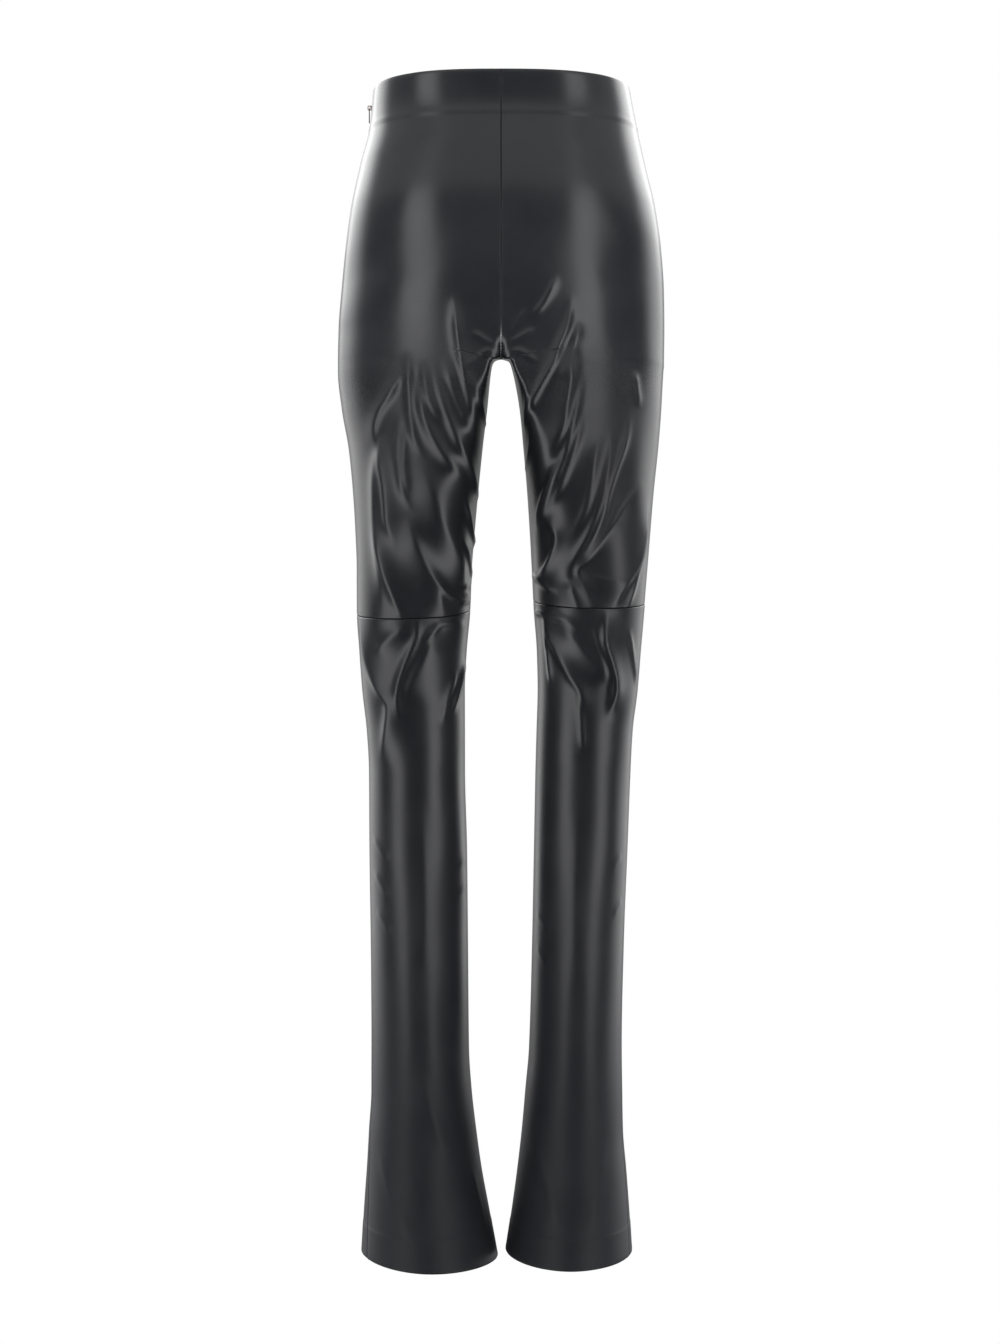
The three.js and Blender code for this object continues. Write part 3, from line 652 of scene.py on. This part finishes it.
# The folds of each panel, as fold_heights takes them.
THIGH_FOLDS = {}
THIGH_FOLDS["right", "front"] = (
    (2.1, 10, 3.5, ((92, 278), (104, 301), (115, 318), (120, 334), (119, 356))),
    (3.6, 5, 11, ((114, 336), (114, 362), (110, 385), (108, 405), (106, 425), (97, 452))),
    (1.7, 3.5, 4, ((95, 318), (98, 350), (96, 372), (92, 396), (82, 416))),
    (1.4, 3, 4, ((91, 332), (91, 368), (86, 402))),
    (1.8, 4, 4, ((88, 258), (87, 298), (85, 325), (80, 348), (70, 368))),
    (3.5, 6, 10, ((79, 284), (74, 316), (67, 338), (57, 356), (46, 370), (32, 382))),
    (2.1, 4, 6, ((75, 270), (69, 300), (62, 318), (53, 336))),
    (3.4, 5, 9, ((66, 262), (58, 298), (51, 320), (43, 342), (35, 360), (28, 378), (21, 404))),
    (2.1, 5, 6, ((53, 266), (45, 296), (37, 318), (26, 342))),
    (3.1, 5, 9, ((43, 204), (41, 240), (37, 270), (32, 298), (27, 322), (24, 352))),
    (1.9, 3, 6, ((29, 282), (22, 306), (16, 326), (15, 350))),
    (5.3, 16, 17, ((76, 362), (66, 388), (60, 408), (55, 426), (47, 444), (40, 462), (33, 490))),
    (3.1, 3.5, 6, ((36, 394), (31, 418), (25, 454))),
    (2.7, 3.5, 5, ((40, 434), (33, 456), (28, 480))),
    (4.8, 16, 9, ((90, 416), (78, 450), (68, 472), (60, 492), (54, 520))),
    (3.2, 5, 10, ((120, 420), (114, 452), (108, 476), (100, 498), (90, 522))),
    (2.4, 3, 4, ((69, 464), (60, 481), (51, 490), (41, 494), (28, 488))),
    (3.6, 8, 15, ((116, 330), (120, 380), (119, 430), (115, 470), (110, 516))),
    (2, 3, 3, ((46, 503), (36, 498), (25, 489))),
    (1.8, 3, 3, ((42, 488), (31, 480), (23, 468))),
    (0.7, 3, 3, ((3, 258), (14, 254), (28, 245))),
    (0.6, 2.5, 3, ((5, 262), (17, 266), (32, 281))),
)
THIGH_FOLDS["left", "front"] = (
    (1.4, 3, 4, ((53, 192), (42, 215), (27, 236))),
    (2.9, 4, 4, ((67, 208), (62, 238), (54, 258), (48, 275), (40, 290), (32, 305), (22, 326))),
    (1.7, 4, 6, ((75, 232), (67, 262), (56, 292))),
    (5, 14, 6, ((69, 258), (65, 290), (61, 314), (57, 336), (43, 364))),
    (2.9, 4, 4, ((78, 280), (72, 312), (66, 338), (60, 360), (53, 380), (44, 404), (36, 428))),
    (2.2, 3, 3.5, ((79, 318), (70, 350), (63, 372), (56, 390), (45, 414))),
    (2.9, 3, 8, ((55, 360), (45, 386), (38, 404), (32, 428))),
    (2.7, 4, 4, ((106, 330), (103, 360), (98, 385), (93, 405), (86, 425), (78, 442), (69, 458), (65, 476))),
    (2.9, 3.5, 4, ((124, 312), (118, 345), (108, 374), (101, 396), (96, 416), (88, 436), (79, 452),
                   (68, 466))),
    (1.8, 4, 5, ((96, 338), (88, 362), (84, 390), (79, 412), (66, 440))),
    (-4.8, 6, 22, ((134, 384), (114, 418), (100, 440), (86, 458), (73, 470), (82, 490), (92, 512))),
    (4.5, 20, 5, ((142, 398), (136, 438), (127, 466), (112, 490), (102, 514))),
    (3.2, 4, 4, ((142, 416), (138, 441), (131, 465), (126, 485), (118, 512))),
    (2.7, 3, 6, ((38, 412), (48, 427), (52, 436), (50, 448), (43, 464), (34, 474))),
    (2.7, 3, 3, ((30, 470), (43, 482), (56, 489))),
    (3.1, 9, 10, ((66, 474), (70, 492), (78, 514))),
    (1.5, 3, 4, ((21, 282), (24, 306), (22, 336))),
    (1.5, 3, 4, ((26, 334), (27, 350), (23, 374))),
    (1.4, 3, 4, ((127, 276), (132, 314))),
    (0.9, 2.5, 2.5, ((8, 263), (20, 265), (34, 276))),
    (0.8, 3, 3, ((4, 257), (16, 252), (34, 242))),
    (0.6, 3, 3, ((4, 252), (14, 240), (25, 222))),
)
THIGH_FOLDS["right", "back"] = (
    (1.4, 4, 6, ((22, 262), (40, 256), (66, 262), (92, 276))),
    (1.7, 4, 6, ((20, 276), (40, 274), (68, 286), (96, 306))),
    (1.8, 4, 7, ((22, 300), (40, 308), (60, 330), (74, 360))),
    (2.0, 5, 6, ((26, 330), (42, 352), (56, 386), (62, 420))),
    (1.8, 8, 5, ((112, 300), (120, 340), (116, 392))),
    (2.2, 8, 9, ((96, 352), (86, 394), (74, 436), (68, 470))),
    (2.4, 4, 4, ((34, 472), (54, 482), (80, 486), (108, 476))),
    (2.2, 4, 4, ((36, 494), (58, 499), (86, 500), (116, 492))),
    (1.8, 4, 5, ((122, 430), (104, 452), (84, 460))),
    (1.6, 4, 5, ((34, 436), (50, 452), (70, 458))),
)
THIGH_FOLDS["left", "back"] = (
    (1.5, 4, 6, ((20, 264), (42, 260), (70, 268), (98, 284))),
    (1.6, 4, 6, ((22, 282), (46, 286), (72, 300), (90, 322))),
    (1.9, 4, 7, ((24, 310), (42, 322), (60, 350), (70, 384))),
    (2.0, 5, 6, ((28, 344), (44, 370), (54, 404), (60, 440))),
    (2.0, 8, 8, ((110, 320), (100, 366), (90, 408), (86, 440))),
    (1.7, 5, 6, ((124, 330), (122, 376), (114, 414))),
    (2.4, 4, 4, ((36, 464), (58, 474), (84, 476), (110, 466))),
    (2.2, 4, 4, ((38, 486), (62, 491), (90, 490), (116, 482))),
    (1.7, 4, 5, ((122, 424), (104, 444), (86, 450))),
    (1.6, 4, 5, ((38, 426), (54, 442), (72, 447))),
)
UPPER_CUTS = {  # flat width, length and area of each panel in metres, with its turnings
    ("right", "front"): (0.29, 0.53, 0.133), ("left", "front"): (0.29, 0.53, 0.132),
    ("right", "back"): (0.34, 0.53, 0.136), ("left", "back"): (0.34, 0.53, 0.136),
}
# How far apart a panel's rows are, how many fall where it turns under, and its columns.
UPPER_MESH = {"front": (2.0, 58, 100), "back": (2.8, 46, 71)}
FORK_FOOT = CROTCH - 32  # where the last of the rows that turn under ends


def upper_rows(leg, face, step, fork_rows):
    """Rows from the waist to the knee seam, with the rise's rows closest where it turns under."""
    rows = [(-off, -off, depth) for depth, off in WAIST_EDGE]
    rows += [(z, z, 0) for z in spaced(-PAST_EDGE, RISE_TOP[face], step * 1.25)]
    rise = list(mix(RISE_TOP[face], CROTCH, np.sin(np.linspace(0, math.pi / 2, fork_rows)[1:])))
    rise += list(CROTCH + (FORK_FOOT - CROTCH) * np.linspace(0.1, 1, 12) ** 2)
    outer = np.linspace(RISE_TOP[face], FORK_FOOT, len(rise) + 1)[1:]
    rows += [(a, b, 0) for a, b in zip(rise, outer)]
    knee = KNEE[leg][1]
    rows += [(z, z, 0) for z in spaced(FORK_FOOT - step, knee + PAST_EDGE, step)]
    rows += [(knee + HALF_GAP + off, knee + HALF_GAP + off, depth) for depth, off in TURNED_EDGE[::-1]]
    return rows


for number, (leg, face) in enumerate(UPPER_CUTS):
    step, fork_rows, columns = UPPER_MESH[face]
    piece = panel(f"{face}_{leg}_thigh", leg, face, upper_rows(leg, face, step, fork_rows), columns,
                  cloth_waves(20 + number), THIGH_FOLDS[leg, face])
    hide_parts(f"{face}_{leg}_upper")


# ---- Leg panels below the knee ----
# Four flared panels of the same cloth, a front and a back for each leg, sewn on at the knee seam. Each is
# turned up once at the hem and held inside.
HEM_WALL = 2.3  # how deep the turned-up cloth lies
HEM_EDGE = ((0.8, 0.1), (0.25, 0.5), (0, 1.15), (0.25, 1.8), (0.8, 2.2), (2, HEM_WALL))
CALF_TOP = -700  # below this the folds are few and the rows further apart
CALF_FOLDS = {}
CALF_FOLDS["right", "front"] = (
    (2.6, 3, 3.5, ((34, 517), (56, 518), (65, 526), (80, 542))),
    (3, 4.5, 4.5, ((80, 506), (80, 528), (86, 544), (93, 560), (98, 576), (99, 592), (96, 616))),
    (4.3, 6, 14, ((138, 506), (133, 536), (127, 560), (117, 582), (108, 596), (110, 620), (118, 656))),
    (3.1, 8, 14, ((60, 522), (68, 540), (76, 556), (86, 576), (93, 600))),
    (3.4, 4, 5, ((32, 546), (40, 575), (49, 610))),
    (2.2, 4, 5, ((42, 562), (52, 590), (57, 616))),
    (1.9, 6, 7, ((84, 524), (102, 530), (122, 546))),
    (0.9, 3, 3, ((125, 724), (116, 738), (106, 744))),
    (0.9, 3, 3, ((124, 758), (114, 774), (106, 780))),
    (0.8, 3, 3, ((122, 796), (112, 808), (106, 818))),
    (0.9, 3, 3, ((31, 744), (44, 756))),
    (0.8, 3, 3, ((31, 770), (44, 784))),
    (1.0, 9, 9, ((78, 680), (74, 780), (76, 880))),
    (1.2, 6, 8, ((118, 1020), (104, 1064), (80, 1110))),
    (1.3, 7, 8, ((78, 940), (66, 986), (49, 1034))),
    (1.3, 5, 6, ((30, 1038), (22, 1074), (14, 1112))),
)
CALF_FOLDS["left", "front"] = (
    (2.6, 3, 3.5, ((32, 506), (52, 511), (64, 516), (80, 528))),
    (2, 4, 4, ((82, 520), (90, 540), (96, 555), (103, 578))),
    (5.7, 4, 10, ((101, 502), (98, 528), (99, 540), (104, 554), (108, 570), (108, 586), (102, 614))),
    (3.6, 4, 8, ((38, 500), (47, 530), (56, 549), (66, 568), (77, 586), (82, 612))),
    (2.8, 9, 9, ((52, 514), (76, 540), (92, 560), (104, 582))),
    (2.6, 3, 4, ((41, 514), (46, 550), (48, 580))),
    (1.4, 3, 3, ((73, 580), (77, 612), (79, 646))),
    (1.8, 3, 3, ((122, 520), (127, 548), (132, 580))),
    (0.9, 3, 3, ((34, 800), (48, 814))),
    (0.8, 3, 3, ((34, 832), (46, 850))),
    (0.8, 3, 3, ((118, 742), (106, 756))),
    (0.8, 3, 3, ((118, 786), (108, 802))),
    (1.0, 9, 9, ((76, 680), (72, 790), (74, 890))),
    (1.4, 8, 8, ((28, 1010), (43, 1050), (58, 1096))),
    (1.1, 7, 7, ((100, 1010), (92, 1050), (84, 1100))),
)
CALF_FOLDS["right", "back"] = (
    (2.4, 4, 4, ((36, 520), (62, 526), (92, 526), (122, 516))),
    (2.0, 4, 5, ((36, 544), (60, 554), (88, 554), (116, 542))),
    (1.6, 5, 5, ((44, 566), (64, 586), (76, 616))),
    (1.6, 5, 5, ((118, 560), (102, 582), (92, 616))),
    (1.0, 9, 9, ((80, 660), (84, 760), (80, 860))),
    (1.2, 7, 8, ((100, 960), (106, 1030), (112, 1100))),
    (1.2, 7, 8, ((50, 970), (42, 1040), (34, 1104))),
)
CALF_FOLDS["left", "back"] = (
    (2.4, 4, 4, ((36, 510), (62, 516), (90, 516), (120, 506))),
    (2.0, 4, 5, ((38, 536), (62, 546), (88, 544), (112, 532))),
    (1.6, 5, 5, ((46, 560), (62, 582), (72, 610))),
    (1.5, 5, 5, ((114, 552), (100, 578), (90, 612))),
    (1.0, 9, 9, ((76, 650), (80, 750), (76, 850))),
    (1.2, 7, 8, ((92, 950), (98, 1020), (102, 1096))),
    (1.2, 7, 8, ((44, 960), (38, 1030), (32, 1100))),
)
LOWER_CUTS = {
    ("right", "front"): (0.21, 0.67, 0.133), ("left", "front"): (0.21, 0.67, 0.132),
    ("right", "back"): (0.28, 0.67, 0.148), ("left", "back"): (0.27, 0.67, 0.145),
}
LOWER_MESH = {"front": (2.1, 78), "back": (2.6, 71)}


def lower_rows(leg, step):
    """Rows from the knee seam down to the hem and up inside it, closest at the ridge of its turning."""
    knee = KNEE[leg][1] - HALF_GAP
    ridge = HEM + HEM_TURN
    wide = step * 1.4
    rows = [(knee - off, depth) for depth, off in TURNED_EDGE]
    for start, end, gap in ((knee - PAST_EDGE, CALF_TOP, step), (CALF_TOP - wide, ridge + 4, wide),
                            (ridge + 2.5, ridge - 3.5, 1.2), (ridge - 5.5, HEM + 2, wide)):
        rows += [(z, 0) for z in spaced(start, end, gap)]
    rows += [(HEM + up, depth) for up, depth in HEM_EDGE]
    rows += [(z, HEM_WALL) for z in spaced(HEM + 5, ridge, 4.5)]
    return [(z, z, depth) for z, depth in rows]


for number, (leg, face) in enumerate(LOWER_CUTS):
    step, columns = LOWER_MESH[face]
    piece = panel(f"{face}_{leg}_calf", leg, face, lower_rows(leg, step), columns,
                  cloth_waves(40 + number), CALF_FOLDS[leg, face])
    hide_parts(f"{face}_{leg}_lower")


# ---- Waist facing ----
# A straight band of the same cloth inside the top edge, in a front and a back half from the zip round to
# the left side seam. It is sewn to the edge and left loose below, with its coated side to the body.
FACING_INSET, FACING_CLOTH = 2.5, 0.95
FACING_END = 0.1  # share of a panel's width by which it stops short of the zip
FACING_TOP, FACING_TOP_TUCK = [-0.6, -0.9, -1.6], [0.5, 0.25, 0.08]  # its rolled edges
FACING_FOOT, FACING_FOOT_TUCK = [0.8, 0.3, 0], [0.08, 0.2, 0.45]
RIPPLE, RIPPLE_ACROSS, RIPPLE_DOWN = 0.12, 9, 15
RIPPLE_FROM, RIPPLE_FADE = 6, 20  # it lies flat along the seam at the top, and ripples below

for face in ("front", "back"):
    halves = []
    for leg in ("right", "left"):
        reach = np.linspace(1 - FACING_END if leg == "right" else 1, 0, 90)
        plain = spaced(-PAST_EDGE, -FACING_DEPTH + 2, 2.5)
        level = np.array(FACING_TOP + plain + [-FACING_DEPTH + up for up in FACING_FOOT])
        tuck = np.array(FACING_TOP_TUCK + [0.0] * len(plain) + FACING_FOOT_TUCK)
        across, down = np.meshgrid(reach, level)
        points = on_form(leg, face, across, down)
        ripple = RIPPLE * np.sin(points[..., 0] / RIPPLE_ACROSS + 2 * np.sin(down / RIPPLE_DOWN)) \
            * ease((-down - RIPPLE_FROM) / RIPPLE_FADE)
        inset = FACING_INSET + ripple - tuck[:, None]
        points = points - outward(leg, face, across, down) * inset[..., None]
        halves.append((points, across * form_width(leg, face, down) * SIDE[leg], down))
    join = [np.hstack((right, left[:, ::-1][:, 1:])) for right, left in zip(*halves)]
    piece = cloth_piece(f"{face}_facing", *join, face == "front", FACING_CLOTH, (coated, knit))
    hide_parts(f"waist_facing_{face}")


# ---- Zip tapes and coil ----
# The concealed zip's two woven polyester tapes lie inside the front and back edges of the right side seam.
# A nylon coil is sewn along each tape, and its turns hook into the other's behind the closed seam.
TAPE_INSET, TAPE_CLOTH, TAPE_WIDTH = 1.55, 0.75, 12
TAPE_EDGE = 0.15  # how near the seam each tape ends
SELVEDGE, SELVEDGE_WIDTH = 0.12, 0.8
WARP, WEFT = 9000, 7000
YARN = ((0.008, 0.008, 0.009), (0.030, 0.030, 0.032))
COIL_TOP, COIL_PITCH, COIL_DEPTH = -16, 1.5, 2.95
COIL_WIRE, COIL_TURN, COIL_MIDDLE = 0.5, 3.4, 0.85  # radius, length of a turn, and its middle off the seam

weave, shop = new_material("zip_tape")
place = shop.place("UV")
along, down, _ = shop.parts(place)
over = shop.sum("SINE", along * WARP) * shop.sum("SINE", down * WEFT)
lint = shop.noise(place, 900.0, 3.0)
tone = shop.mix(over * 0.3 + lint * 0.6, *YARN)
shop.show(shop.skin({"Base Color": tone, "Roughness": 0.72 + lint * 0.2,
                     "Normal": shop.bumps(over + lint * 0.4, 0.5, 0.00012)}))

nylon, shop = new_material("zip_coil")
haze = shop.noise(shop.place("Object"), 700.0, 2.0)
tone = shop.mix(haze, (0.010, 0.010, 0.011), (0.024, 0.024, 0.026))
shop.show(shop.skin({"Base Color": tone, "Roughness": 0.34 + haze * 0.16}))


def piece_from(bm, name, look):
    """An object made from bm, smooth and in one material."""
    piece = bpy.data.objects.new(name, bpy.data.meshes.new(name))
    bm.to_mesh(piece.data)
    bm.free()
    piece.data.polygons.foreach_set("use_smooth", np.ones(len(piece.data.polygons), dtype=bool))
    piece.data.materials.append(look)
    scene.collection.objects.link(piece)
    return piece


for face in ("front", "back"):
    off, down = np.meshgrid(np.linspace(TAPE_WIDTH, TAPE_EDGE, 14), spaced(-0.5, -ZIP_LENGTH, 2.5))
    across = 1 - off / form_width("right", face, down)
    selvedge = SELVEDGE * np.exp(-((off - TAPE_WIDTH) / SELVEDGE_WIDTH) ** 2)
    inset = outward("right", face, across, down) * (TAPE_INSET + selvedge)[..., None]
    points = on_form("right", face, across, down) - inset
    piece = cloth_piece(f"{face}_zip_tape", points, off, down, face == "front", TAPE_CLOTH, (weave, weave))
    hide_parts(f"zip_tape_{face}")

    turns = bmesh.new()
    first = 0 if face == "front" else COIL_PITCH / 2
    for z in np.arange(COIL_TOP - first, -ZIP_LENGTH + 2, -COIL_PITCH):
        near = on_form("right", face, np.array([[1.0, 0.97]]), np.array([[z, z]]))[0]
        along = (near[1] - near[0]) / np.linalg.norm(near[1] - near[0])
        inward = np.cross(along, (0, 0, 1))
        inward *= np.sign(inward[0])
        made = bmesh.ops.create_cone(turns, cap_ends=True, segments=6, radius1=COIL_WIRE, radius2=COIL_WIRE,
                                     depth=COIL_TURN)
        bmesh.ops.scale(turns, vec=(1.15, 0.95, 1), verts=made["verts"])
        middle = near[0] + along * COIL_MIDDLE + inward * COIL_DEPTH
        frame_of_turn = Matrix((np.cross((0, 0, 1), along), (0, 0, 1), along)).transposed().to_4x4()
        bmesh.ops.transform(turns, matrix=Matrix.Translation(middle) @ frame_of_turn, verts=made["verts"])
    bmesh.ops.recalc_face_normals(turns, faces=turns.faces)
    bmesh.ops.scale(turns, vec=(MM, MM, MM), verts=turns.verts)
    coil = piece_from(turns, f"{face}_zip_coil", nylon)
    round_off = coil.modifiers.new("round_off", "BEVEL")
    round_off.width = 0.2 * MM
    round_off.segments = 1
    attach(coil, "garment")


# ---- Zip slider and pull ----
# A small die-cast slider at the top of the closed zip, its body behind the tapes and its bridge standing
# out through the seam. The flat pull hangs from the bridge, and both are painted a dark brown-black.
PIVOT = (-129.0, 0.0, -12.0)  # the bar of the pull
COPPERY_FROM, COPPERY_TO = -0.018, -0.012
CORNER_POINTS = 6

metal, shop = new_material("zip_metal")
place = shop.place("Object")
worn = shop.noise(place, 420.0, 4.0)
speck = shop.noise(place, 2600.0, 2.0)
coppery = shop.ramp_between(shop.parts(place)[2] + worn * 0.004, COPPERY_FROM, COPPERY_TO)
paint = shop.mix(coppery, (0.030, 0.026, 0.028), (0.16, 0.070, 0.062))
tone = shop.mix(shop.ramp_between(worn, 0.60, 0.72), paint, (0.22, 0.17, 0.15))
shop.show(shop.skin({"Base Color": tone, "Metallic": 0.75 + worn * 0.2, "Roughness": 0.26 + speck * 0.14,
                     "Normal": shop.bumps(speck, 0.25, 0.00005)}))


def plate_with_eye(bm, outline, eye, thickness):
    """A flat plate in the plane through the pivot, between two loops of as many (out, up) places."""
    rings = []
    for loop in (outline, eye):
        verts = [bm.verts.new((x, 0, z)) for x, z in loop]
        rings.append([bm.edges.new((a, b)) for a, b in zip(verts, verts[1:] + verts[:1])])
    made = bmesh.ops.bridge_loops(bm, edges=rings[0] + rings[1])
    bmesh.ops.recalc_face_normals(bm, faces=made["faces"])
    walls = bmesh.ops.solidify(bm, geom=made["faces"], thickness=thickness)
    verts = {v for f in made["faces"] for v in f.verts} | {v for v in walls["geom"]
                                                          if isinstance(v, bmesh.types.BMVert)}
    middle = sum(v.co.y for v in verts) / len(verts)
    bmesh.ops.translate(bm, vec=(0, -middle, 0), verts=list(verts))
    return list(verts)


def rounded(left, right, low, high, corner):
    """Places round a rectangle with round corners, from its lower right, as many for any size."""
    places = []
    for cx, cz, start in ((right - corner, low + corner, -90), (right - corner, high - corner, 0),
                          (left + corner, high - corner, 90), (left + corner, low + corner, 180)):
        for k in range(CORNER_POINTS):
            turn = math.radians(start + 90 * k / (CORNER_POINTS - 1))
            places.append((cx + corner * math.cos(turn), cz + corner * math.sin(turn)))
    return places


def metal_piece(name, bm, edge):
    """A cast piece: sharp edges rounded, scaled to metres and put at the pivot."""
    bmesh.ops.recalc_face_normals(bm, faces=bm.faces)
    bmesh.ops.scale(bm, vec=(MM, MM, MM), verts=bm.verts)
    bmesh.ops.translate(bm, vec=[v * MM for v in PIVOT], verts=bm.verts)
    sharp = [e for e in bm.edges if e.is_manifold and e.calc_face_angle() > math.radians(50)]
    bmesh.ops.bevel(bm, geom=sharp, offset=edge * MM, offset_type="OFFSET", segments=2, profile=0.5,
                    affect="EDGES", material=-1)
    piece = piece_from(bm, name, metal)
    return piece


# The slider's bridge, then its inner plate, its outer plate and the post between them.
bm = bmesh.new()
plate_with_eye(bm, rounded(-1.7, 7.4, -2.3, 2.3, 0.9), rounded(-1.0, 1.1, -1.6, 1.6, 0.5), 0.75)
for size, place in (((0.9, 4.6, 9.4), (7.5, 0, 0)), ((0.8, 4.8, 9.0), (9.2, 0, 0)),
                    ((1.4, 1.2, 3.6), (8.3, 0, 2.6))):
    made = bmesh.ops.create_cube(bm, size=1)
    bmesh.ops.scale(bm, vec=size, verts=made["verts"])
    bmesh.ops.translate(bm, vec=place, verts=made["verts"])
slider = metal_piece("zip_slider_body", bm, 0.16)
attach(slider, "garment")
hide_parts("zip_slider")

# The pull narrows to its eye, and its top is cut flat to clear the bridge.
PULL_TOP, EYE_FOOT, NARROWED = 0.42, -3, 0.86
bm = bmesh.new()
outline = [(x * (NARROWED if z > EYE_FOOT else 1), min(z, PULL_TOP))
           for x, z in rounded(-1.85, 1.85, -15, 0.45, 1.8)]
verts = plate_with_eye(bm, outline, rounded(-0.8, 0.8, -3.2, -0.45, 0.35), 0.85)
bmesh.ops.rotate(bm, cent=(0, 0, 0), matrix=Matrix.Rotation(math.pi / 2, 3, "Z"), verts=verts)
pull = metal_piece("zip_pull_tab", bm, 0.14)
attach(pull, "pull_tab")
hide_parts("zip_pull")


# ---- Seam threads ----
# Black polyester thread holds the panels together. Each stitch shows as a short bar across the bottom of
# the seam: down the middle at the front and back, down the sides and the insides of the legs, and round
# each knee.
STITCH, THREAD, STITCH_DEPTH = 2.9, 0.17, 0.75
BAR = 1.5  # length of each bar
HALF_SEAM = 0.25  # how far above and below the knee seam its stitches are measured from
SEAM_END = 2  # how far from the waist and the hem the stitches end

spun, shop = new_material("seam_thread")
ply = shop.noise(shop.place("Object"), 2400.0, 2.0)
shop.show(shop.skin({"Base Color": shop.mix(ply, *YARN), "Roughness": 0.55 + ply * 0.2,
                     "Normal": shop.bumps(ply, 0.4, 0.00005)}))


def stitches(bm, front, back):
    """Bars of thread between matching places on the two edges of a seam, set in below the surface."""
    middle = (front + back) / 2
    run = row_lengths(middle[None])[0]
    for at in np.arange(STITCH, run[-1] - STITCH / 2, STITCH):
        here, a, b = (np.array([np.interp(at, run, line[:, k]) for k in range(3)])
                      for line in (middle, front, back))
        along = (b - a) / np.linalg.norm(b - a)
        made = bmesh.ops.create_cone(bm, cap_ends=True, segments=5, radius1=THREAD, radius2=THREAD, depth=BAR)
        turn = Vector((0, 0, 1)).rotation_difference(Vector(along)).to_matrix().to_4x4()
        bmesh.ops.transform(bm, matrix=Matrix.Translation(here) @ turn, verts=made["verts"])


def sunk(leg, face, across, z):
    """Places on a panel's form moved in to the stitches, for a line of shares and heights."""
    points = on_form(leg, face, across, z)
    points[:, 2] += fork_tilt(points)
    return points - outward(leg, face, across, z) * STITCH_DEPTH


bm = bmesh.new()
for leg in ("right", "left"):
    side = np.linspace(-ZIP_LENGTH if leg == "right" else -SEAM_END, HEM + SEAM_END, 500)
    inside = np.linspace(CROTCH - 10, HEM + SEAM_END, 400)
    for z, share in ((side, 1.0), (inside, 0.0)):
        edge = np.full_like(z, share)
        z = z + hem_lean(leg, share, z)
        stitches(bm, *(sunk(leg, face, edge, z) for face in ("front", "back")))
    for face in ("front", "back"):
        across = np.linspace(0.01, 0.99, 120)
        seam = knee_seam(leg, across)
        stitches(bm, *(sunk(leg, face, across, seam + up) for up in (HALF_SEAM, -HALF_SEAM)))
for face in ("front", "back"):
    under = np.sin(np.linspace(0, math.pi / 2, 90)[1:])
    rise = np.concatenate((np.linspace(-SEAM_END, RISE_TOP[face], 120),
                           mix(RISE_TOP[face], CROTCH + 0.3, under)))
    edge = np.zeros_like(rise)
    stitches(bm, *(sunk(leg, face, edge, rise) for leg in ("right", "left")))
bmesh.ops.scale(bm, vec=(MM, MM, MM), verts=bm.verts)
threads = piece_from(bm, "seam_threads", spun)
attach(threads, "garment")
